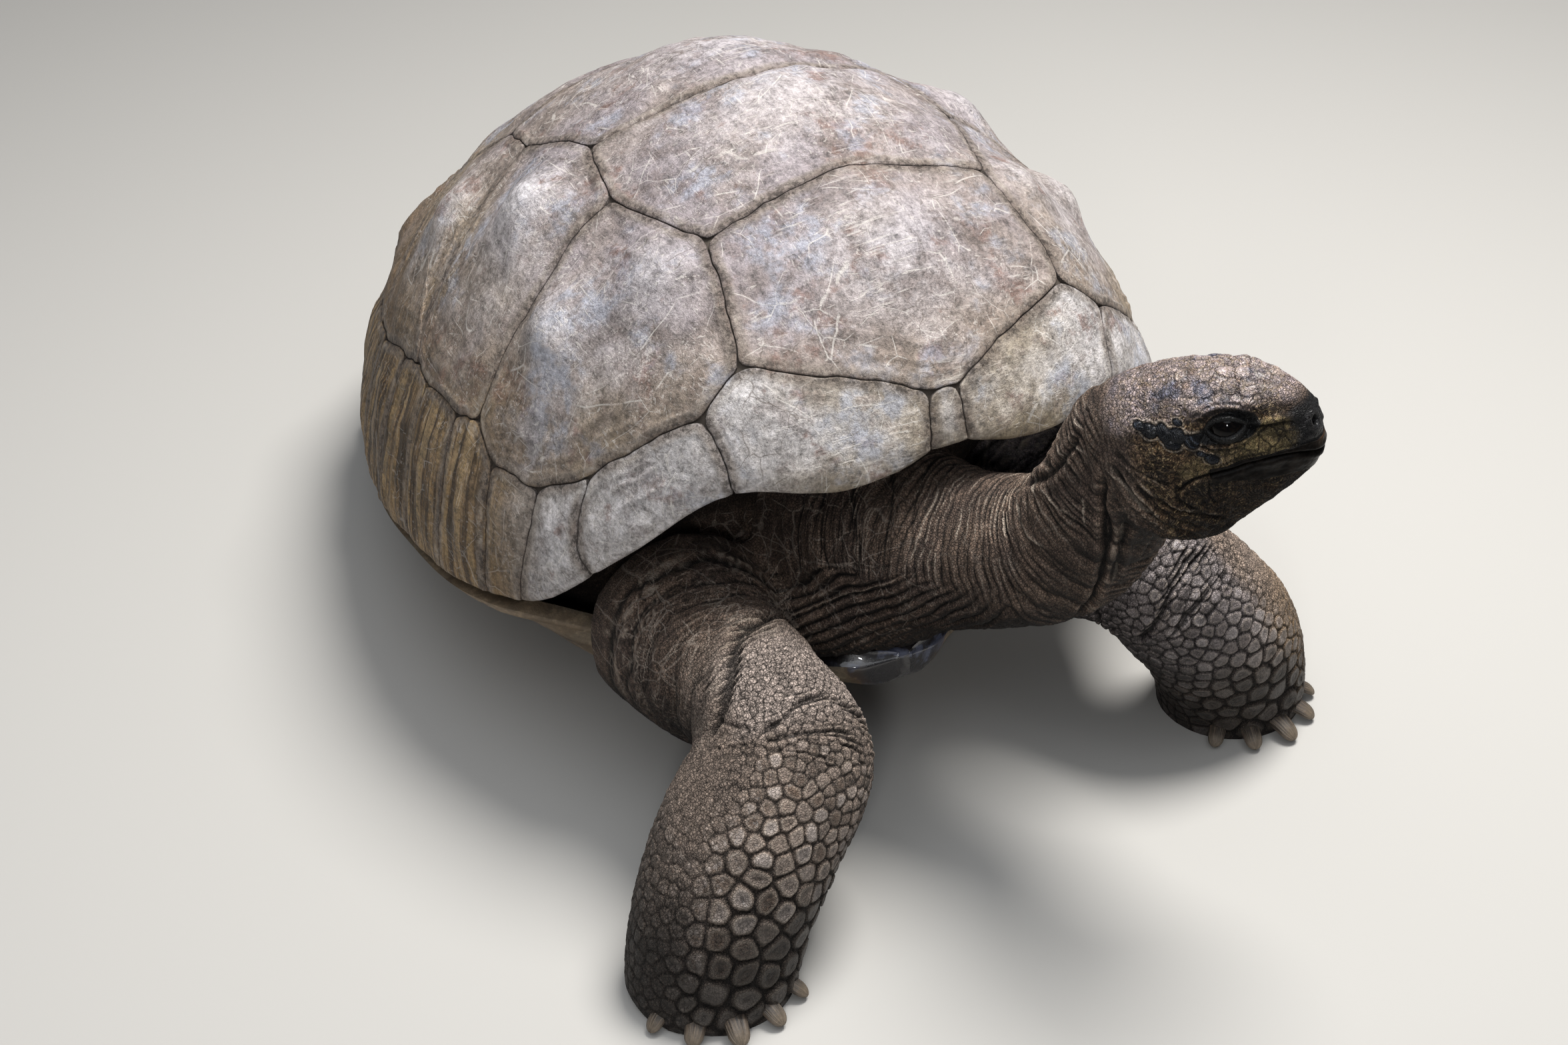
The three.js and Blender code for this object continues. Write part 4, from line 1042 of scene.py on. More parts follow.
for line, width, depth in [       # points along the neck in mm and round it in degrees
        ([(500, -145), (452, -139), (418, -126), (380, -116), (337, -105), (300, -98)], 4.0, 7.0),
        ([(500, -110), (453, -119), (400, -110), (356, -100)], 4.0, 5.0),
        ([(500, 176), (450, 168), (400, 150), (355, 128)], 4.5, 3.5),
        ([(510, -35), (440, -45), (380, -60), (320, -75)], 4.5, 5.5),
        ([(505, -75), (440, -80), (385, -84)], 4.0, 4.0),
        ([(392, 120), (423, 146), (438, 158)], 4.0, 2.5)]:
    fold(here, on_neck, on, arc, [(o, a * NECK_ARC) for o, a in line], width, depth, 0.8, shake)
around_nape = np.where(side < -60, side + 360, side) * NECK_ARC
for line in [[(485, 158), (478, 170), (487, 185), (496, 202)],
             [(398, 156), (408, 171), (411, 186), (418, 201)],
             [(462, 120), (455, 150), (462, 175)], [(500, 130), (497, 160), (505, 180)],
             [(445, 110), (436, 140)], [(446, 203), (430, 209), (414, 215)],
             [(456, 242), (431, 242), (406, 249), (373, 258), (357, 259)],
             [(340, 120), (348, 150), (352, 180), (366, 200)], [(372, 110), (380, 140), (388, 165)]]:
    crest(here, on_neck, on, around_nape, [(o, a * NECK_ARC) for o, a in line], 2.4, 1.1,
          shake * 0.4)
at_base = (ramp(on, 40, 90) * ramp(on, 215, 150) * (np.abs(outside) < 30)
           * (1 - chest_share[here]))
sweep = wrinkle(on + 22 * noise(at, 0.13, 30) + 6 * noise(at, 0.05, 31) - 0.25 * np.abs(arc), 27)
ridged(here, at_base, sweep, 5.0, 0.9, (0.3, 0.05))

# Legs: pleated skin at the shoulder, then scales that grow from granules over the elbow to
# large dished plates on the forearm; thick nail-like plates edge the foot.
LEGS = dict(foreleg_right=(1, 0, 186), foreleg_left=(-1, -32, 154), hind_leg_left=(-1, 0, 120),
            hind_leg_right=(1, 0, 120))      # which side is inner, and where the folds and scales start
LEG_ARC = 1.45                    # mm round a foreleg for each degree
MOST_SCALES, MOST_TRIED = 6000, 26000        # limits on the scales of one leg
CLOSEST = 0.42                    # how close two scale middles come, as a share of their sizes
ROUND_CORNERS = 0.095             # how round the corners of a scale are, as a share of its size


def scale_size(fore, on, around, far):
    """How wide the scales of a leg are in mm, from granules to broad plates."""
    if not fore:
        broad_ = ramp(on, 150, 215) * ramp(np.abs(around - 88), 95, 60)
        return 7 + 13 * broad_ + 4 * ramp(on, 235, 265)
    broad_ = ramp(on, 228, 320) * ramp(np.abs(around - 76), 62, 36)
    return (5.2 + 3.0 * ramp(on, 205, 235) + 8.0 * broad_ + 5.0 * ramp(on, 310, 350)
            * ramp(np.abs(around - 120), 110, 60)
            + 7.0 * ramp(on, 345, 425) * ramp(np.abs(around - 88), 70, 40)
            + 4.5 * far * ramp(on, 190, 230) * ramp(around, 120, 90) * (1 - broad_))


def grown_seeds(candidates, sizes, rng):
    """Scale middles spread over the candidates, as far apart as the sizes say."""
    seeds, radii = np.empty((MOST_SCALES, 3)), np.empty(MOST_SCALES)
    count = 0
    for i in rng.permutation(len(candidates))[:MOST_TRIED]:
        apart = ((seeds[:count] - candidates[i]) ** 2).sum(1)
        if (apart < (CLOSEST * MM * (radii[:count] + sizes[i])) ** 2).any():
            continue
        seeds[count], radii[count] = candidates[i], sizes[i]
        count += 1
        if count == MOST_SCALES:
            break
    return seeds[:count], radii[:count]


def scale_cells(where, seeds, radii):
    """For each point: distance to its scale's edge in mm, the scale's size, and its index."""
    tree = tree_of(seeds)
    found = np.array([[hit[1] for hit in tree.find_n(p, 5)] for p in where])
    d2 = ((where[:, None] - seeds[found]) ** 2).sum(-1) - (0.35 * radii[found] * MM) ** 2
    order = np.argsort(d2, 1)[:, :3]
    nearest, weight = np.take_along_axis(found, order, 1), np.take_along_axis(d2, order, 1)
    first = nearest[:, 0]
    size, edges = radii[first], []
    for i in (1, 2):
        gap = np.maximum(np.linalg.norm(seeds[first] - seeds[nearest[:, i]], axis=1), 1e-4)
        edges.append((weight[:, i] - weight[:, 0]) / (2 * gap) / MM)
    soft = ROUND_CORNERS * size       # rounds the corners where three scales meet
    edge = -soft * np.log(np.exp(-edges[0] / soft) + np.exp(-edges[1] / soft))
    return np.maximum(edge, 0), size, first


def settle(candidates, seeds, radii):
    """Moves each scale's middle to the middle of its cell, so that the cells even out."""
    sample = candidates[::3]
    for _ in range(3):
        _, _, cell = scale_cells(sample, seeds, radii)
        count = np.bincount(cell, minlength=len(seeds))
        total = np.stack([np.bincount(cell, sample[:, i], len(seeds)) for i in range(3)], 1)
        seeds = np.where(count[:, None] > 3, total / np.maximum(count, 1)[:, None], seeds)
    return seeds


def lay_scales(where, share, sizes, rng, height=1.0, dish=1.0, dark=1.0):
    """Raises scales of the wanted sizes where their share shows, paints shade into the lines between
    them, and marks pale rims.
    """
    kept = share > 0.02
    where, share, sizes = where[kept], share[kept], sizes[kept]
    spots = points[where]
    sizes = sizes * (1 + 0.28 * noise(spots, 0.012, 32))
    seeds, radii = grown_seeds(spots, sizes, rng)
    seeds = settle(spots, seeds, radii)
    edge, size, cell = scale_cells(spots + 0.0007 * noise(spots, 0.006, 33)[:, None], seeds, radii)
    vary = rng.uniform(0.65, 1.3, len(seeds))[cell]
    lean = rng.uniform(-1, 1, (len(seeds), 3))[cell]
    t = edge / (0.5 * size)
    broad_ = ramp(size, 9, 16)
    swell = 1 - (1 - np.clip(t, 0, 1)) ** 2.2
    plateau = ramp(t, 0, 0.4)
    rim = hump(t, 0.34, 0.11)
    hollow = ramp(t, 0.3, 0.8) * (rng.random(len(seeds))[cell] < 0.7)
    tilt = np.einsum("ij,ij->i", spots - seeds[cell], lean) / MM / size
    amount = ((1 - broad_) * 0.17 * size * swell
              + broad_ * size * (0.06 * swell + 0.10 * ramp(t, 0, 0.2) - dish * 0.062 * hollow * vary
                                 + 0.07 * tilt * plateau + 0.008 * np.sin(24 * t) * plateau)) * vary
    marks["relief"][where] += share * height * amount
    mark("crease_shade", where, share * dark * (1 - 0.35 * broad_) * ramp(edge, 0.01 * size + 0.45, 0.05))
    mark("pale", where, share * rim * (0.08 + 0.34 * broad_) * vary)
    mark("horny", where, share * ramp(t, 0.12, 0.4) * broad_)
    marks["shade"][where] = np.where(share > 0.3, rng.uniform(-1, 1, len(seeds))[cell] * plateau,
                                     marks["shade"][where])


leg_zones = {}
for number, (name, (inner, ahead_by, start)) in enumerate(LEGS.items()):
    here, at, on, angle, outside = near(name)
    around = np.degrees(angle) if inner > 0 else 180 - np.degrees(angle)
    around = (around + 90) % 360 - 90
    on = on - ahead_by
    fore = name.startswith("fore")
    share = (np.abs(outside) < 16) * ramp(on, 20, 60) * (1 - ramp(head_share[here], 0, 0.5))
    scaly = share * ramp(on + ahead_by + 14 * noise(at, 0.05, 34), start, start + 22)
    if fore:
        scaly *= np.maximum(ramp(around + 10 * noise(at, 0.04, 35), 165, 118),
                            0.5 * ramp(on, 315, 365))
    leg_zones[name] = here, share, on, around
    lay_scales(here, scaly, scale_size(fore, on, around, name == "foreleg_left"),
               np.random.default_rng(40 + number))
    # Pleats of the shoulder run round the leg, tight where it bends, with leather between them.
    loose = share * (1 - scaly) * (ramp(on, 250, 215) if fore else 1)
    u = on + 24 * noise(at, 0.08, 36) + 7 * noise(at, 0.03, 37) + 0.12 * around
    pleats, wide = wrinkle(u, 9.5), wrinkle(u + 14 * noise(at, 0.09, 38), 36)
    tight = 0.3 + 0.7 * ramp(np.abs(around - 95), 75, 35) * (0.6 + 0.8 * noise(at, 0.06, 72))
    marks["relief"][here] += loose * (1.4 * tight * (pleats - 0.6) + 3.8 * (wide - 0.6))
    # Painted shade in the pleats and between the broad rolls.
    mark("crease_shade", here, loose * np.maximum(ramp(pleats, 0.32, 0.06) * 0.7 * tight,
                                           ramp(wide, 0.2, 0.04) * 0.6))
    leather = wrinkle(12 * noise(at, 0.034, 73) + 5 * noise(at, 0.014, 74), 1.0)
    ridged(here, loose * (1 - 0.5 * tight), leather, 1.2, 0.7)
    mark("pale", here, loose * 0.6 * ramp(leather, 0.93, 1.0) * ramp(noise(at, 0.03, 77), -0.1, 0.4))
    mark("pale", here, loose * ramp(pleats, 0.96, 1) * ramp(noise(at, 0.02, 39), 0, 0.5) * 0.5)
    if not fore:
        continue
    wobble = 2.2 * noise(at, 0.03, 41)
    for line, width, depth in [   # points down the leg in mm and round it in degrees
            ([(160, 40), (176, 70), (184, 100), (202, 128), (214, 146), (226, 170)], 4.5, 7),
            ([(248, 122), (241, 102), (235, 86), (236, 66), (248, 38), (256, 10)], 2.4, 4.2),
            ([(212, 152), (226, 138), (240, 124)], 2.2, 1.6),
            ([(228, 168), (246, 152), (262, 136), (276, 128)], 3.4, 1.8),
            ([(252, 176), (272, 164), (290, 152)], 3.4, 1.5),
            ([(276, 186), (300, 176), (322, 168)], 3.2, 1.3),
            ([(262, 118), (256, 96), (256, 66), (266, 40)], 1.8, 2.2),
            ([(272, 122), (268, 96), (270, 70)], 1.6, 1.6),
            ([(200, 0), (220, -30), (240, -60)], 5, 5), ([(236, 0), (250, -30), (262, -60)], 4, 4)]:
        fold(here, share, on, around * LEG_ARC, [(o, a * LEG_ARC) for o, a in line], width, depth,
             0.85 * ramp(depth, 0.8, 2.4), wobble)
    # The outer side of the forearm: fine granules over soft low lumps, in shallow creases.
    outer = ramp(around, 112, 138) * ramp(around, 262, 235) * ramp(on, 222, 250) * share
    lay_scales(here, outer, np.full(len(here), 4.6), np.random.default_rng(60 + number), 0.6, 0, 0.4)
    slack = wrinkle(on * 0.8 - 0.9 * around + 12 * noise(at, 0.05, 42) + 3 * noise(at, 0.016, 43), 13)
    ridged(here, outer * ramp(on, 400, 300), slack, 1.5, 0.5, (0.25, 0.05))

# Tail: small scales in rows.
here, at, on, angle, outside = near("tail", 0.06)
tail_rows = wrinkle(on + 2 * noise(at, 0.02, 44), 8.5) * wrinkle(np.degrees(angle) * 0.5, 9, 0.6)
marks["relief"][here] += (np.abs(outside) < 14) * ramp(on, 20, 45) * 0.9 * (tail_rows - 0.4)

# Head: a flat crown of small plates, brows over the eyes, rolled lids, dark bare nodules on the
# temple, nostrils at the tip of the snout, the line of the mouth and slack skin under the jaw.
EYE_LENS = (17.0, 5.8)            # half-length and half-height of the opening between the lids
LENS_AT = (121, -5.5)             # middle of the opening, ahead and high
MOUTH = [(200, -60), (188, -54), (176, -47), (165, -44), (147, -43), (123, -45), (100, -45),
         (86, -48), (76, -53), (70, -58)]
CANTHUS = [(140, -11), (152, -12), (168, -15), (180, -18)]      # the crease before the eye
NODULES = [                       # ahead, high, half-length and half-height, mm
    (57, 2, 7.5, 7), (69, -1, 7.5, 7.5), (80, -5, 7, 7.5), (91, -12, 6.5, 7), (76, -12, 7, 5),
    (82, 7, 4, 3), (105, -31, 5.5, 4.5), (97, -24, 4, 3), (47, 8, 5, 4)]

here = np.flatnonzero(head_share > 0)
at, (ahead, aside, high), on_face = points[here], head[here].T, head_share[here]
width_side = np.abs(aside)
facing_side = ramp(width_side, 14, 30)
on_side = on_face * facing_side
shake = noise(at, 0.02, 51)
shape = np.zeros(len(here))
shape += (facing_side * 4.2 * hump(high - 12 + 0.12 * (ahead - 120), 0, 6.5)
          * ramp(ahead, 84, 104) * ramp(ahead, 160, 142))
shape += (facing_side * 2.4 * hump(high + 8 + 0.08 * (ahead - 150), 0, 3.2)
          * ramp(ahead, 140, 152) * ramp(ahead, 190, 180))
shape += facing_side * 3.0 * hump(ahead, 62, 30) * hump(high, -28, 20)
shape += facing_side * 2.4 * hump(ahead, 40, 24) * hump(high, -75, 22)
shape -= facing_side * 2.4 * hump(ahead, 158, 15) * hump(high, -24, 10)
shape -= 2.2 * hump(aside, 0, 9) * ramp(ahead, 100, 120) * ramp(ahead, 190, 165) * (high > -10)
shape += 1.8 * hump(ahead, 140, 7) * ramp(high, 20, 34) - 1.4 * hump(ahead, 127, 5) * ramp(high, 20, 34)
shape += facing_side * 1.6 * noise(at, 0.024, 64) + 0.8 * noise(at, 0.011, 65)
marks["relief"][here] += on_face * shape
fold(here, on_side, ahead, high, CANTHUS, 2.4, 3.4, 0.9, 0.8 * shake)

# The mouth: a deep line with painted shade in it, and smooth dark horn over the edges of both jaws.
d_mouth, _ = line_distance(ahead, high, MOUTH)
above = high - np.interp(ahead, *np.array(MOUTH[::-1]).T)
lips = on_face * ramp(ahead, 56, 70)
marks["relief"][here] += lips * (1.3 * hump(above, 4.5, 3.0) + 1.1 * hump(above, -5.0, 3.5)
                                 - 3.8 * np.exp(-(d_mouth / 1.6) ** 2))
mark("crease_shade", here, lips * ramp(d_mouth, 2.0, 0.7))
horn_top = 5.5 + 1.6 * shake + 6.0 * ramp(ahead, 168, 188)
horn_low = -11 - 12 * ramp(ahead, 108, 150)
beak = (lips * ramp(above, horn_top + 1.0, horn_top - 1.0)
        * ramp(above, horn_low - 1.5, horn_low + 1.5) * ramp(ahead + 4 * shake, 96, 108))
border = lips * ramp(ahead, 80, 105)
marks["relief"][here] -= border * hump(above, horn_top + 1.5, 1.8)
# Painted shade along the top edge of the upper beak.
mark("crease_shade", here, 0.7 * border * hump(above, horn_top + 1.5, 1.4))
nose = on_face * ramp(ahead + 3 * shake, 168, 180) * ramp(high, 2, -8) * ramp(high, -60, -50)
nostril = np.sqrt(((ahead - 189) * 0.7) ** 2 + (width_side - 9.5) ** 2 + ((high + 25) * 0.85) ** 2)
marks["relief"][here] += on_face * (1.8 * hump(nostril, 7.0, 2.4) - 7.5 * ramp(nostril, 5.0, 2.0))
# Painted shade in the nostrils.
mark("crease_shade", here, on_face * ramp(nostril, 5.4, 3.6))

# The lids close round the eyeball: distance outside a lens-shaped opening, seen from the side.
eye_along = ahead - LENS_AT[0]
eye_up = high - LENS_AT[1] + 0.06 * eye_along
half, tall = EYE_LENS
big_radius = (half**2 + tall**2) / (2 * tall)
lens = np.hypot(eye_along, np.abs(eye_up) + big_radius - tall) - big_radius
lens = np.where(np.abs(eye_along) > half,
                np.maximum(lens, np.hypot(np.abs(eye_along) - half, eye_up)), lens)
by_eye = on_face * (width_side > 14) * (np.abs(eye_along) < 60) * (np.abs(eye_up) < 50)
under = np.where(eye_up < 0, 1.0, 0.6)
marks["relief"][here] += by_eye * (under * 1.5 * hump(lens, 12.0, 2.0) - 2.4 * hump(lens, 8.5, 3.5)
                                   - 1.2 * hump(lens, 15.0, 1.4) + under * 0.9 * hump(lens, 17.5, 2.0))
# Painted shade in the fold round the lower lid.
mark("crease_shade", here, by_eye * (0.5 * hump(lens, 15.0, 1.0) * (eye_up < 2)))

# Long curved folds and crests behind the jaw and under it, and fine rings on the throat and nape.
wobble = 2.0 * noise(at, 0.03, 52)
for line, width, depth in [
        ([(70, -50), (66, -66), (81, -84), (100, -100)], 2.2, 3.0),
        ([(12, -22), (26, -60), (38, -79), (50, -98), (68, -116)], 2.8, 4.0),
        ([(0, -60), (14, -86), (34, -106), (52, -122)], 3.0, 3.8),
        ([(30, -44), (44, -68), (58, -88), (80, -106)], 2.0, 2.2),
        ([(98, -52), (94, -68), (98, -80)], 1.6, 2.0),
        ([(44, -58), (62, -76), (86, -92), (104, -98)], 1.8, 2.4),
        ([(16, -10), (34, -30), (52, -44), (66, -52)], 1.8, 1.6)]:
    fold(here, on_side, ahead, high, line, width, depth, 0.7, wobble)
for line in [[(-9, -27), (5, -31), (17, -43), (25, -60), (31, -72), (40, -81), (49, -92), (58, -99)],
             [(40, -53), (57, -67), (71, -78), (86, -85), (98, -89)], [(26, -26), (38, -46), (46, -58)],
             [(12, -86), (2, -104)]]:
    crest(here, on_side, ahead, high, line, 2.0, 1.2, wobble * 0.5)
throat = on_face * ramp(high, -50, -78) * ramp(ahead, 128, 100)
u = ahead * 0.55 - high * 0.8 + 6 * noise(at, 0.05, 53) + 2 * noise(at, 0.018, 54)
ridged(here, throat, wrinkle(u, 6.4), 0.8, 0.5)
nape = on_face * ramp(ahead, 40, 8)
u = ahead + 0.12 * np.abs(aside) + 5 * noise(at, 0.04, 56) + 2 * noise(at, 0.015, 57)
rings = wrinkle(u, 5.6)
ridged(here, nape, rings, 0.9, 0.5)
mark("pale", here, nape * ramp(rings, 0.95, 1) * ramp(noise(at, 0.02, 58), -0.1, 0.5) * 0.6)

# Plates of the crown, a row of dark nodules on the temple, and granules on the cheek.
crown = ramp(high, 4, 14) * ramp(ahead, 22, 48) * ramp(ahead, 192, 180)
cheek = (facing_side * ramp(high, 8, 0) * ramp(high, -112, -60) * ramp(ahead, 20, 44)
         * (1 - 0.5 * ramp(high, -50, -60)))
clear = 1 - by_eye * ramp(lens, 14, 10)
temple, rims, nodules = np.zeros((3, len(here)))
for middle, level, long, deep in NODULES:
    blob = np.hypot((ahead - middle) / long, (high - level + 0.25 * (ahead - middle)) / deep)
    blob = blob + 0.3 * noise(at, 0.011, 71) + 0.15 * shake
    temple = np.maximum(temple, ramp(blob, 1.1, 0.94))
    rims = np.maximum(rims, hump(blob, 1.27, 0.13))
    nodules = np.maximum(nodules, np.sqrt(np.clip(1 - blob**2, 0, 1)))
rims *= on_side * ramp(temple, 0.5, 0.1)
temple *= on_side
marks["relief"][here] += 0.8 * rims
mark("pale", here, rims)
marks["relief"][here] += temple * (3.6 * nodules - 1.0)
# Painted shade between the nodules.
mark("crease_shade", here, temple * ramp(nodules, 0.75, 0.4))
sizes = (4.6 + 6.5 * crown * ramp(ahead, 50, 120) + 1.2 * ramp(ahead, 60, 110)
         + 4.5 * crown * ramp(ahead, 118, 136) + 3.0 * crown * ramp(ahead, 60, 80))
scaly = on_face * np.clip(crown + cheek, 0, 1) * clear * (1 - beak) * (1 - 0.6 * nose) * (1 - temple)
lay_scales(here, scaly, sizes * (1 + 0.35 * noise(at, 0.016, 76)), np.random.default_rng(70),
           0.42, 0, 0.25)

# Old skin: fine creases that run like the lines of a map between and over the scales, and dry
# flakes in long lines on the crown.
map_lines = wrinkle(14 * noise(at, 0.026, 68) + 5 * noise(at, 0.011, 69), 1.0)
creased = on_face * clear * (1 - beak) * ramp(ahead, 10, 40) * (1 - 0.4 * nose)
creased = creased * (0.7 + 0.3 * facing_side * ramp(high, 26, 12))
ridged(here, creased, map_lines, 1.1, 0.6, (0.35, 0.08))
mark("pale", here, creased * (1 - temple) * 0.45 * ramp(map_lines, 0.9, 1.0)
     * ramp(noise(at, 0.02, 75), -0.2, 0.4))
long_lines = wrinkle(0.3 * high + 0.12 * ahead + 9 * noise(at, 0.03, 78) + 3.5 * noise(at, 0.012, 79),
                     4.4)
flaky = creased * ramp(high, 8, 22) * ramp(noise(at, 0.035, 80), -0.4, 0.2)
ridged(here, flaky, long_lines, 0.9, 0.55, (0.35, 0.08))
mark("pale", here, flaky * 0.4 * ramp(long_lines, 0.92, 1.0))

# How far each point stands out of the skin around it, for painted shade in the hollows and painted
# highlights on the crests.
marks["relief_shading"] = np.clip((marks["relief"] - relaxed(flesh, marks["relief"], 9)) / 1.15, -1, 1)

# Fine grain of the whole hide, and soft lumps; the soles are flat on the ground.
marks["relief"] += (0.22 * noise(points, 0.0035, 61) + 0.5 * noise(points, 0.014, 62)
                    + 1.2 * noise(points, 0.05, 63))
marks["relief"] *= ramp(points[:, 2], 0.004, 0.020)
points = points + normals(flesh) * (marks["relief"] * MM)[:, None]


def eye_middle(sign):
    """The middle of the left eyeball for 1 and of the right one for -1."""
    return from_skull([(EYE_AT[0], sign * EYE_AT[1], EYE_AT[2])])[0]


def over_hide(values):
    """Values at the points of the head, with 0 at all other points of the hide."""
    whole = np.zeros(len(points))
    whole[here] = values
    return whole


# Inside the opening the skin sinks behind the eyeball; its edges lie on the ball.
for sign in (1, -1):
    ball = eye_middle(sign)
    mine = (sign * aside > 12) * by_eye
    off = points[here] - ball
    from_ball = np.linalg.norm(off, axis=1) / MM
    aim = off / np.maximum(from_ball, 1e-6)[:, None] / MM
    lid = (EYE_RADIUS + 0.9 + 2.6 * hump(lens, 2.4, 2.0) + 1.4 * hump(lens, 2.4, 3.0) * (eye_up > 0)
           + 0.9 * hump(lens, 6.4, 1.6))
    wanted = from_ball + (lid - from_ball) * ramp(lens, 11, 6.0) * mine
    behind = ramp(lens, 0.3, -1.2) * mine
    wanted = wanted * (1 - behind) + SOCKET * behind
    moved = ball + aim * wanted[:, None] * MM
    points[here] = np.where((mine * (lens < 11.5))[:, None] > 0, moved, points[here])
points[:, 2] = np.maximum(points[:, 2], 0)
move_to(flesh, points)

# Colour zones of the hide, from 0 to 1 at each point: first those of the head, then of the legs.
on_head = dict(
    head=on_face * ramp(high, -4, 10) * ramp(ahead, 5, 40),
    face=on_side * ramp(ahead, 26, 54) * ramp(high, 14, 2),
    temple=temple,
    olive=on_side * ramp(lens, 9, 13) * np.clip(
        ramp(np.hypot((ahead - 156) / 27, (high + 24) / 21) + 0.2 * shake, 1.08, 0.8)
        + 0.5 * ramp(np.hypot((ahead - 108) / 34, (high + 36) / 12) + 0.3 * shake, 1.2, 0.7), 0, 1),
    lids=by_eye * ramp(np.hypot((ahead - LENS_AT[0] - 3) / 29, (high - LENS_AT[1] + 1.0) / 15.0)
                       + 0.1 * shake, 1.04, 0.92),
    nose=nose, beak=beak, jaw=on_face * ramp(above, -1, -5) * ramp(ahead, 40, 90))
zones = {name: over_hide(value) for name, value in on_head.items()}
zones.update({name: np.zeros(len(points)) for name in ("granular", "bluish", "tan", "cap")})
for name, (where, share, on, around) in leg_zones.items():
    below = ramp(on, 150, 200) if name.startswith("fore") else 1
    zones["granular"][where] = np.maximum(zones["granular"][where], share * below)
    if name == "foreleg_left":
        zones["bluish"][where] = share * ramp(on, 375, 290)
        zones["tan"][where] = share * ramp(around, 108, 126) * ramp(around, 250, 225)
    if name == "foreleg_right":
        zones["cap"][where] = share * ramp(on, 180, 200) * ramp(on, 262, 236) * ramp(around, 150, 118)
zones["granular"] = np.clip(zones["granular"] - marks["horny"], 0, 1)
from_armpit = np.linalg.norm(points - place(*ARMPIT), axis=1)
zones["slack"] = 0.25 + 0.75 * ramp(from_armpit, 0.24, 0.13)
# Painted shade where the skin faces down and near the ground.
facing_down = -normals(flesh)[:, 2]
ground_shade = 0.95 * ramp(points[:, 2] + 0.03 * noise(points, 0.05, 67), 0.23, 0.06)
zones["damp"] = np.maximum(ramp(facing_down + 0.25 * noise(points, 0.08, 66), -0.15, 0.6), ground_shade)
zones.update({name: value for name, value in marks.items() if name != "relief"})

hide = Finish("hide", **{"Roughness": 0.7, "Specular IOR Level": 0.25, "Coat Roughness": 0.22})
zone = {name: hide.attribute(name) for name in zones}
broad, mottle = hide.noise(0.06, 4), hide.noise(0.018, 5, offset=2.0)
grain, fleck = hide.noise(0.0042, 5, 0.7), hide.noise(0.0014, 4, 0.85)
light, dark = zone["shade"].ramp(0.05, 0.7), zone["shade"].ramp(-0.05, -0.7)
patch = hide.noise(0.028, 5, 0.65, offset=6.0)
on_crown, on_cheek, olive, horny, granular, relief_shading = (
    zone[name] for name in ("head", "face", "olive", "horny", "granular", "relief_shading"))
colour = hide.painted(
    hide.mix(broad.ramp(0.38, 0.62), tint("54463e"), tint("67564a")),
    (mottle.ramp(0.5, 0.72) * 0.5, "816e60"),
    (granular * 0.55, "94857a"),
    (zone["cap"] * 0.75, "b3a49b"),
    (zone["tan"] * (0.6 + mottle * 0.5).clamped(), "c2a27e"),
    (horny * (0.35 + mottle * 0.8).clamped(), "a39489"),
    (horny * light * 0.4, "b9b0ac"),
    (horny * dark * 0.7, "6a523f"),
    (zone["bluish"] * 0.45, "8f8c94"),
    # The head: pinkish and blue-grey plates on the crown, warm brown cheeks under them.
    (on_crown * 0.85, "ad9d9b"),
    (on_crown * light * 0.12, "b7a7a8"),
    (on_crown * dark * 0.16, "62647a"),
    (on_crown * patch.ramp(0.52, 0.62) * 0.75, "bcaaab"),
    (on_crown * patch.ramp(0.48, 0.38) * 0.8, "5a6076"),
    (on_crown * mottle.ramp(0.54, 0.66) * 0.7, "6a5346"),
    (on_cheek * (0.35 + mottle * 0.9).clamped() * 0.8, "6f5539"),
    (on_cheek * patch.ramp(0.55, 0.64) * 0.6, "8d6c45"),
    (on_cheek * mottle.ramp(0.5, 0.36) * 0.6, "3b3025"))
lightness = (1.02 + (light - dark) * 0.25 + (grain - 0.5) * 2.8 + (fleck - 0.5) * 2.4
             + (mottle - 0.5) * 1.2)
colour = hide.scaled(colour, lightness.least(2.2).most(0.2))
# Dry edges of small scales: a net of light golden lines round darker cells on the cheeks.
net = hide.cracks(0.0095, hide.shaken(0.006, 0.012, hide.place((1, 1, 1.5), (0.4, 0.2, 0.9))))
flake = hide.noise(0.0085, 4, 0.7, offset=8.0)
colour = hide.scaled(colour, 1 + (flake - 0.5) * 4.0 * on_cheek.most(on_crown * 0.7))
on_net = on_cheek.most(on_crown * 0.55) * patch.ramp(0.40, 0.56)
colour = hide.scaled(colour, 1 - on_net * net.ramp(0.12, 0.30) * 0.4)
skin_cells = hide.cracks(0.0030, hide.shaken(0.0014, 0.005))
colour = hide.painted(colour, (on_net * net.ramp(0.11, 0.03) * 0.75, "b39a74"),
                      (skin_cells.ramp(0.15, 0.02) * 0.6 * (1 - horny), "1b1613"))
# Painted shade in the hollows, painted highlights on the crests, and pale threads over the slack skin.
depth = 1.0 - granular * 0.5 - horny * 0.4 + on_crown * 0.4
colour = hide.scaled(colour, (1 + relief_shading * depth).most(0.16))
crest_highlight = (relief_shading.ramp(0.40, 0.95) * (0.2 + fleck * 0.9) * (1 - zone["temple"])
          * (1 - granular * 0.5))
thread = hide.strokes(
    lambda size, at: hide.cracks(size, at).ramp(0.020, 0.007), (0.012, 0.03), 0.06, 4.0,
    (0.43, 0.52), [(0.052, (1, 0.5, 1), (0.2, 0.6, 0.9)), (0.040, (0.5, 1, 1), (1.0, 0.1, 2.0)),
                   (0.030, (1, 1, 0.5), (0.5, 1.3, 0.4))])
thread = thread * zone["slack"] * (1 - on_crown) * (1 - on_cheek) * (1 - granular * 0.7) * (1 - horny)
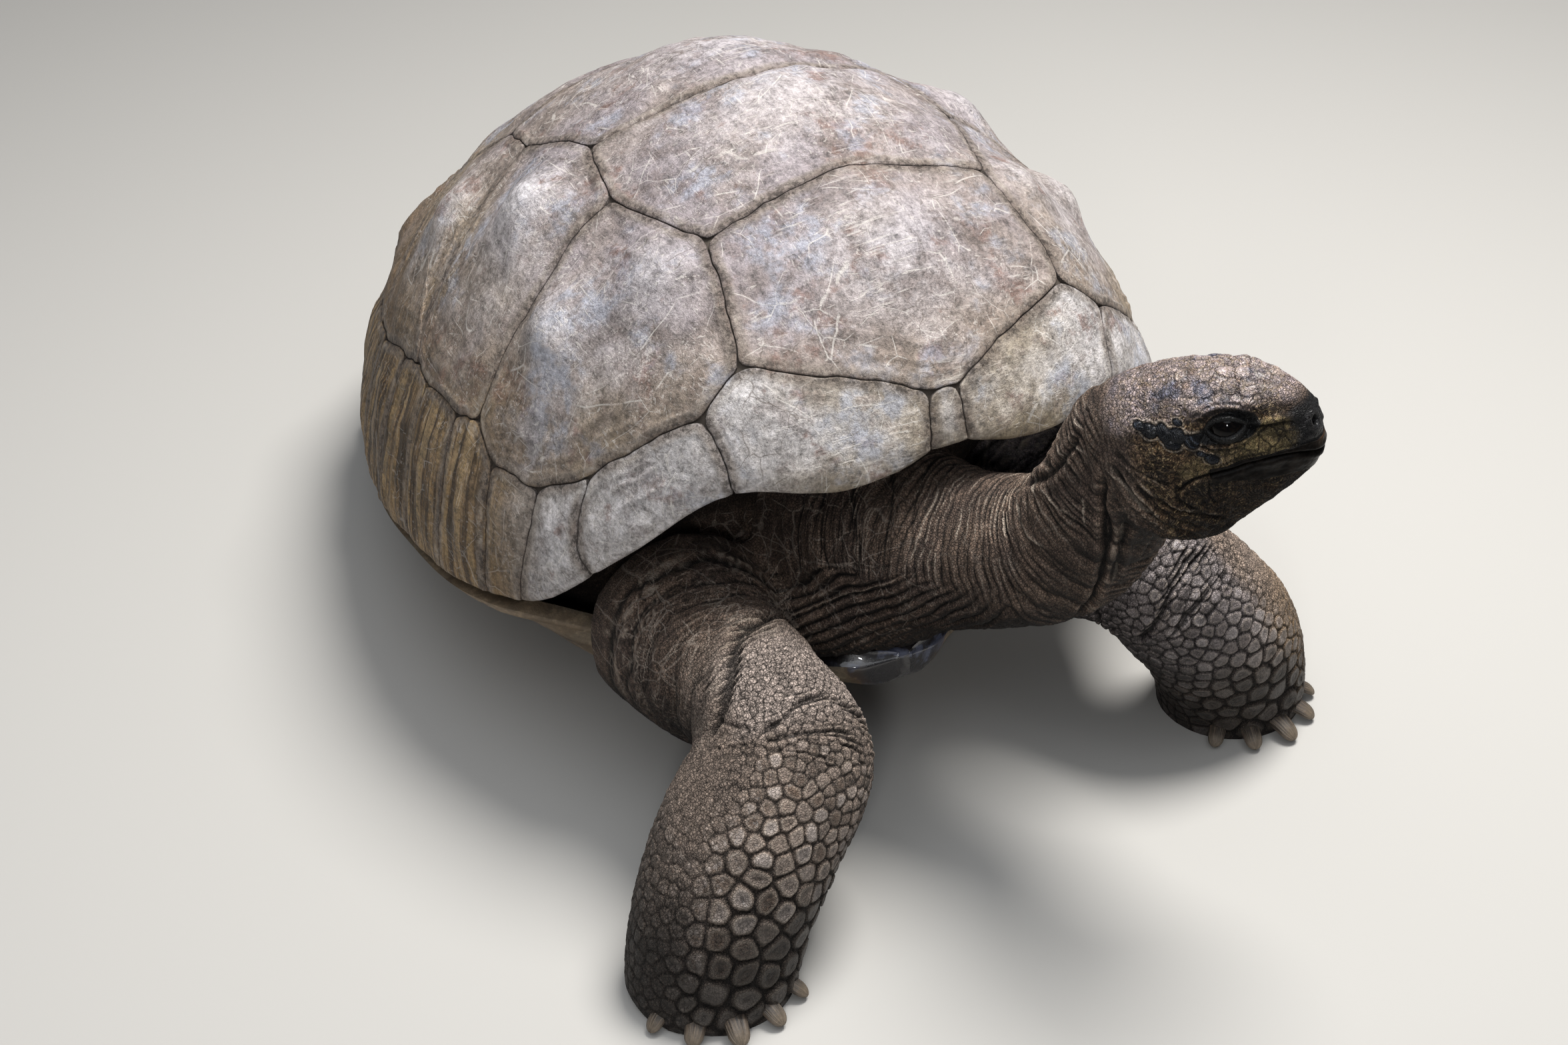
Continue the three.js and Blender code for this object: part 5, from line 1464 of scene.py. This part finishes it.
colour = hide.painted(colour, (crest_highlight * 0.9, "bbab9a"),
                      (zone["pale"] * (0.35 + fleck * 0.9) * 0.95, "c4b6a6"),
                      (thread * 0.5, "ab9e92"))
# Painted shade under the body and near the ground; the lower jaw darker, partly its own dark skin and
# partly painted shade.
colour = hide.scaled(colour, (1 - zone["damp"] * 0.88) * (1 - zone["jaw"] * 0.65))
creases = hide.cracks(0.010, hide.shaken(0.008, 0.015, hide.place((1, 1, 0.7), (0.9, 0.1, 0.3))))
colour = hide.painted(
    colour,
    (olive * (grain.ramp(0.40, 0.58) * 0.7 + 0.15), "a8966a"),
    (olive * mottle.ramp(0.50, 0.38) * 0.7, "3a3122"),
    (olive * fleck.ramp(0.56, 0.66) * 0.5, "cfc39c"),
    (olive.most(on_cheek * 0.8) * creases.ramp(0.10, 0.03) * 0.75, "15100b"),
    # Painted shade in the folds and in the lines between scales.
    (zone["crease_shade"] * 0.92, "0d0a08"),
    (zone["temple"] * (0.9 + grain * 0.2).clamped(), "0b0e14"),
    # Painted highlights on the raised nodules of the temple, on the nose and on the folds of the lids.
    (zone["temple"] * relief_shading.ramp(0.1, 0.9) * (grain * 1.2).clamped(), "566275"),
    (zone["nose"] * (0.84 + grain * 0.3).clamped(), "0e0d0f"),
    (zone["nose"] * relief_shading.ramp(0.3, 0.9) * 0.25, "6a6c78"),
    (zone["lids"] * (0.9 + grain * 0.2).clamped(), "0a0a0b"),
    (zone["lids"] * relief_shading.ramp(0.3, 0.9) * 0.12, "5a5a60"),
    (zone["beak"] * 0.9, "0c0a09"))
rough = (0.62 + grain * 0.26 - horny * 0.1 - on_crown * 0.1
         - zone["nose"].most(zone["temple"]).most(zone["lids"]) * 0.25)
gloss = (zone["lids"] * 0.2).most(zone["temple"] * 0.3).most(zone["nose"] * 0.3)
gloss = gloss.most(horny * 0.4).most(on_crown * 0.3)
height = (grain * 1.0 + fleck * 0.5 + mottle * 0.8 + skin_cells.ramp(0.0, 0.2) * 0.6
          - thread * 0.1)
hide.feed(colour=colour, roughness=rough, coat=gloss * (0.3 + grain * 0.8),
          normal=hide.bump(height, 1.0, 0.0028))
give(flesh, **{name: np.clip(value, -1, 1) for name, value in zones.items()})
fitted("hide_skin", flesh, hide.material,
       [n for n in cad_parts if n.split("_")[0] in
        ("trunk", "neck", "head", "lower", "foreleg", "hind", "tail")])

# ---------------------------------------------------------------- beak
# Two sheaths of dark horn over the edges of the jaws, in place of teeth. They follow the skin,
# stand a little proud of it, and sink into it at their borders.
BEAK_THICK = 1.6                  # thickness of the sheaths, mm
BEAK_PROUD, BEAK_SUNK = 0.8, 1.0  # how far they stand out of the skin, and sink in at the borders, mm
BEAK_FROM = 0.2                   # share of horn at which a sheath starts

beak_horn = Finish("beak_horn", **{"Roughness": 0.4, "Specular IOR Level": 0.05})
grown, scuff = beak_horn.noise(0.010, 5, 0.65), beak_horn.noise(0.0028, 4, 0.8)
colour = beak_horn.painted(
    beak_horn.mix(grown.ramp(0.42, 0.66), tint("0b0908"), tint("1d1916")),
    (beak_horn.attribute("tip") * grown.ramp(0.3, 0.6) * 0.6, "3f2c1d"),
    (scuff.ramp(0.62, 0.75) * 0.2, "565660"))
beak_horn.feed(colour=colour, roughness=0.22 + scuff * 0.25,
               normal=beak_horn.bump(grown + scuff * 0.5, 0.5, 0.0012))
horn_share, over_mouth = over_hide(beak), over_hide(above)
out = normals(flesh)
for jaw, sign in (("upper", 1), ("lower", -1)):
    mask = np.where(over_mouth * sign > 0.4, horn_share, 0)
    rise = (BEAK_PROUD + BEAK_SUNK) * ramp(mask, 0.25, 0.7) - BEAK_SUNK
    sheath = bmesh.new()
    sheath.from_mesh(flesh)
    sheath.verts.ensure_lookup_table()
    bare = []
    for vert, share, way, far in zip(sheath.verts, mask, out, rise):
        if share > BEAK_FROM:
            vert.co += Vector(way * far * MM)
        else:
            bare.append(vert)
    bmesh.ops.delete(sheath, geom=bare, context="VERTS")
    mesh = bpy.data.meshes.new(f"{jaw}_beak")
    sheath.to_mesh(mesh)
    sheath.free()
    tip = to_skull(coordinates(mesh))
    give(mesh, tip=ramp(tip[:, 0], 189, 194) * ramp(tip[:, 2], -50, -44))
    fitted(f"{jaw}_beak", modified(mesh, "SOLIDIFY", thickness=BEAK_THICK * MM, offset=-1),
           beak_horn.material)

# ---------------------------------------------------------------- eyes
# Dark wet eyes, nearly black, with a narrow brown iris. The lids close on them.
wet = Finish("wet_eye", Roughness=0.06, IOR=1.26)
wet.feed(colour=wet.mix(wet.noise(0.004, 4).ramp(0.45, 0.7), tint("050404"), tint("140e0a")))
for side, sign in (("left", 1), ("right", -1)):
    ball = bmesh.new()
    bmesh.ops.create_uvsphere(ball, u_segments=48, v_segments=32, radius=EYE_RADIUS * MM)
    bmesh.ops.translate(ball, verts=ball.verts, vec=eye_middle(sign))
    mesh = bpy.data.meshes.new(f"eyeball_{side}")
    ball.to_mesh(mesh)
    ball.free()
    fitted(f"eyeball_{side}", mesh, wet.material, [f"eye_{side}"])

# ---------------------------------------------------------------- plastron
# The belly plate: bone under horn, flat and broad, joined to the shell's rim by a bridge on each
# side. Six pairs of plates cover it, and its front ends in a thick smooth lip under the neck.
BELLY_THICK, LIFT, UNDER_RIM = 26.0, 14.0, 7.0    # thickness, upturn of free edges, gap at the rim, mm
BELLY_BACK, BELLY_FRONT = -500, 466
# Half-width of the plastron without its bridges, at the places of BELLY, mm.
BELLY_HALF = [95, 150, 190, 215, 222, 225, 225, 225, 225, 222, 200, 160, 84, 40]
BELLY_SEAMS = [(408, 0.5), (246, 0.10), (178, 0.05), (-186, -0.08), (-392, -0.2)]    # place and slant
BRIDGE_FROM, BRIDGE_TO = -225.0, 262.0
GROOVE = 1.8                      # depth of its seams, mm
COLUMNS_UNDER, COLUMNS_OVER = 76, 30


def closed_tube(rows, columns, start=0):
    """Faces of a grid of points whose rows are loops, with both ends closed."""
    last = start + (rows - 1) * columns
    return (grid_faces(rows, columns, start) + [list(range(start, start + columns))[::-1],
                                                list(range(last, last + columns))])


stations = np.concatenate([np.linspace(BELLY_BACK, 455, 126),
                           BELLY_FRONT - 11 * np.linspace(1, 0, 9)[1:] ** 2])
half_turn = np.radians(np.linspace(20, 170, 300))
brim = dome(np.cos(half_turn), np.sin(half_turn))[::-1]
brim_forward = GROUND_POINT[0] - brim[:, 1] / MM
bridge = ramp(stations, BRIDGE_FROM - 45, BRIDGE_FROM) * ramp(stations, BRIDGE_TO + 43, BRIDGE_TO)
half_wide = np.interp(stations, BELLY[0], BELLY_HALF)
half_wide = half_wide + bridge * (np.interp(stations, brim_forward, brim[:, 0] / MM + GROUND_POINT[1])
                                  - 4 - half_wide)
half_wide *= np.sqrt(np.clip(1 - ramp(stations, 440, 466.5) ** 2 * 0.96, 0, 1))
half_wide *= np.sqrt(np.clip(1 - ramp(stations, -482, -500.5) ** 2 * 0.6, 0, 1))
floor_up = np.convolve(np.pad(np.interp(stations, *BELLY), 6, mode="edge"), np.ones(13) / 13, "valid")
edge_up = floor_up + LIFT + bridge * (np.interp(stations, brim_forward, brim[:, 2] / MM)
                                      - BELLY_THICK - UNDER_RIM - floor_up - LIFT)
across = np.concatenate([np.linspace(-1, 1, COLUMNS_UNDER), np.linspace(1, -1, COLUMNS_OVER)])
is_top = np.arange(len(across)) >= COLUMNS_UNDER
across, forward = np.meshgrid(across, stations)
left = across * half_wide[:, None]
up = floor_up[:, None] + (edge_up - floor_up)[:, None] * ramp(np.abs(across), 0.62, 1)
from_edge = (1 - np.abs(across)) * half_wide[:, None]
from_end = np.minimum(BELLY_FRONT - forward, forward - BELLY_BACK)
roundness = np.clip(np.minimum(from_edge, from_end + 2) / 13, 0, 1)
roundness = np.sqrt(np.clip(1 - (1 - roundness) ** 2, 0, 1))
up = up + BELLY_THICK / 2 + np.where(is_top, 1, -1) * BELLY_THICK / 2 * roundness
left = left - 26 * ramp(forward, 370, 435)
on_lip = ramp(forward, 396, 418) * np.where(is_top, 1, ramp(from_end, 26, 12))
up = up + np.where(is_top, 13, -4) * ramp(forward, 385, 430) * roundness

# The seams: one down the middle, five across, and one along each bridge.
seam_gap = np.abs(left + 2.5 * np.sin(forward / 37))
for at_seam, slant in BELLY_SEAMS:
    seam_gap = np.minimum(seam_gap, np.abs(forward - at_seam + slant * np.abs(left)
                                           + 3 * np.sin(left / 29)))
by_bridge = np.abs(from_edge - 74 - 5 * np.sin(forward / 41))
seam_gap = np.minimum(seam_gap, np.where(bridge[:, None] > 0.5, by_bridge, 99))
swell = noise(place(forward, left, up).reshape(-1, 3), 0.05, 81).reshape(forward.shape)
sink = (GROOVE * np.exp(-(seam_gap / 2.2) ** 2) - 1.6 * swell
        + 0.35 * np.sin(seam_gap / 1.5 + 2 * swell) * np.exp(-seam_gap / 45))
up = up + np.where(is_top, -1, 1) * sink * roundness * (1 - 0.9 * on_lip)

belly_horn = Finish("belly_horn", Roughness=0.5)
gap, lip = belly_horn.attribute("gap"), belly_horn.attribute("lip")
cloud, grain = belly_horn.noise(0.07, 5), belly_horn.noise(0.009, 6, 0.7)
smooth_patch = lip * (belly_horn.noise(0.022, 4, offset=1.0) - 0.5 + lip).ramp(0.44, 0.54)
painted_sheen = belly_horn.noise(0.03, 3, offset=5.0)
colour = belly_horn.painted(
    belly_horn.mix(cloud.ramp(0.4, 0.62), tint("7c6b56"), tint("5e5040")),
    (grain.ramp(0.5, 0.7) * 0.45, "9a8a72"),
    ((gap * 0.9).ramp(1.5, 12) * cloud.ramp(0.48, 0.6) * 0.3, "a39680"),
    (lip * 0.8, "5c4233"),
    (smooth_patch * 0.95, "17171b"),
    # A painted blue-grey sheen on the glossy lip.
    (smooth_patch * painted_sheen.ramp(0.52, 0.62) * 0.8, "5c6175"))
colour = belly_horn.scaled(colour, (1 + (grain - 0.5) * (1.3 - lip * 0.9)))
colour = belly_horn.painted(colour, (gap.ramp(2.6, 0.8) * 0.85, "1e1812"))
belly_horn.feed(colour=colour, roughness=0.5 + grain * 0.2 - smooth_patch * 0.32,
                coat=smooth_patch * 0.8,
                normal=belly_horn.bump(grain * (1 - lip * 0.7) + cloud * 0.6, 0.7, 0.0022))
build("belly_plate", place(forward, left, up).reshape(-1, 3), closed_tube(*forward.shape),
      belly_horn.material, "belly_horn", ["plastron"], gap=seam_gap.ravel(), lip=on_lip.ravel())

# ---------------------------------------------------------------- claws
# Blunt, broad nails: five on each forefoot and four on each hind foot, joined foot by foot.
# A nail in mm: how far its tip droops, its root lies in the foot and its middle lies off the ground.
NAIL = dict(long=41.0, wide=13.5, deep=9.5, droop=11.0, sunk=16.0, height=18.0)
NAIL_RINGS, NAIL_SIDES = 22, 28
FIRST_NAIL, NAIL_SPREAD = -42, 104      # degrees outwards from straight ahead
FEET = [("foreleg_right", FORELEG_RIGHT, 5), ("foreleg_left", FORELEG_LEFT, 5),
        ("hind_leg_right", HIND_LEG_RIGHT, 4), ("hind_leg_left", HIND_LEG_LEFT, 4)]

nail_horn = Finish("nail_horn", Roughness=0.45)
along = nail_horn.attribute("along")
strands = nail_horn.node("ShaderNodeTexNoise", {}, {
    "Vector": nail_horn.attribute("across", "Vector"), "Scale": 3.0, "Detail": 5.0}).out("Fac")
scuff = nail_horn.noise(0.004, 4, 0.75)
colour = nail_horn.painted(
    nail_horn.mix(strands.ramp(0.4, 0.65), tint("2f2822"), tint("5b4f43")),
    (along.ramp(0.55, 1.0) * 0.5, "7d705f"),
    (along.ramp(0.45, 0.2) * 0.8, "17130f"))
nail_horn.feed(colour=nail_horn.scaled(colour, 1 + (scuff - 0.5) * 1.4),
               roughness=0.38 + scuff * 0.3,
               normal=nail_horn.bump(strands + scuff * 0.6, 0.7, 0.0014))

share = 1 - (1 - np.linspace(0, 1, NAIL_RINGS)) ** 1.6
narrowing = np.sqrt(np.clip(1 - np.clip((share - 0.7) / 0.3, 0, 1) ** 2.4, 0.0004, 1))
narrowing = (narrowing * (1 - 0.26 * share))[:, None]
share, swing = np.meshgrid(share, np.linspace(0, 2 * np.pi, NAIL_SIDES, endpoint=False), indexing="ij")
for foot, chain, count in FEET:
    forward, left, _, wide, deep = chain[-2]
    outwards = np.sign(left)
    shapes, faces, sides = [], [], []
    for i in range(count):
        turn = math.radians(FIRST_NAIL + NAIL_SPREAD * i / (count - 1))
        ahead_, aside_ = math.cos(turn), outwards * math.sin(turn)
        big = 1 - 0.22 * abs(i - (count - 1) / 2) / ((count - 1) / 2)
        reach = math.hypot(ahead_ * deep, aside_ * wide) - NAIL["sunk"] + NAIL["long"] * big * share
        across = np.cos(swing) * NAIL["wide"] * big * narrowing
        lift = (np.sin(swing) * np.where(np.sin(swing) > 0, 1, 0.7) * NAIL["deep"] * big * narrowing
                + NAIL["height"] * (0.75 + 0.25 * big) - NAIL["droop"] * share**2)
        lift = np.maximum(lift + 0.5 * np.cos(swing * 9) * (np.sin(swing) > 0), 0.4)
        shapes.append(place(forward + ahead_ * reach - aside_ * across,
                            left + aside_ * reach + ahead_ * across, lift).reshape(-1, 3))
        faces += closed_tube(NAIL_RINGS, NAIL_SIDES, i * NAIL_RINGS * NAIL_SIDES)
        sides.append(np.stack([np.cos(swing) * 2 + 5 * i, np.sin(swing) * 2, share * 0.4], -1))
    build(f"claws_{foot}", np.vstack(shapes), faces, nail_horn.material, "claw_horn",
          along=np.tile(share.ravel(), count), across=np.stack(sides).reshape(-1, 3))

# ---------------------------------------------------------------- floor, lights and camera
# A plain pale floor under large soft lamps, seen from a person's height in front of the animal,
# on its right.
FLOOR_WIDE = 14                   # m
ROOM_COLOUR, ROOM_STRENGTH = (0.85, 0.9, 1, 1), 0.13
EYE, TARGET, ROLL = Vector((-0.9854, -2.1194, 1.739)), Vector((-0.1474, -0.3214, 0.340)), -0.0310
LENS, SENSOR = 55.92, 36          # mm

floor_finish = Finish("pale_floor", Roughness=0.9)
floor_finish.feed(colour=tint("aeaca8"))
bpy.ops.mesh.primitive_plane_add(size=FLOOR_WIDE, location=(0, 0, 0))
floor = bpy.context.object
floor.name = "floor"
floor.data.materials.append(floor_finish.material)


def lamp(name, power, size, at, towards=(0, 0, 0.3), colour=(1, 1, 1)):
    """A round soft lamp, in watts and metres."""
    data = bpy.data.lights.new(name, "AREA")
    data.energy, data.shape, data.size, data.color = power, "DISK", size, colour
    made = bpy.data.objects.new(name, data)
    made.location = at
    made.rotation_euler = (Vector(towards) - Vector(at)).to_track_quat("-Z", "Y").to_euler()
    bpy.context.scene.collection.objects.link(made)


lamp("key", 182, 1.4, (0.9, -0.1, 3.3), colour=(1, 0.98, 0.95))
lamp("sky", 72, 4.0, (-0.8, -1.2, 3.6), colour=(0.93, 0.96, 1))
lamp("catch", 14, 0.32, (-1.35, -2.5, 1.75), towards=(0.1, -0.7, 0.5))
world = bpy.data.worlds.new("room")
world.use_nodes = True
light_of_room = world.node_tree.nodes["Background"].inputs
light_of_room["Color"].default_value = ROOM_COLOUR
light_of_room["Strength"].default_value = ROOM_STRENGTH
bpy.context.scene.world = world
bpy.context.scene.view_settings.view_transform = "Standard"

camera = bpy.data.objects.new("camera", bpy.data.cameras.new("camera"))
camera.data.lens, camera.data.sensor_width = LENS, SENSOR
camera.location = EYE
aim = (TARGET - EYE).to_track_quat("-Z", "Y").to_matrix()
camera.rotation_euler = (aim @ Matrix.Rotation(ROLL, 3, "Z")).to_euler()
camera.data.clip_start, camera.data.clip_end = 0.05, 50
bpy.context.scene.collection.objects.link(camera)
bpy.context.scene.camera = camera
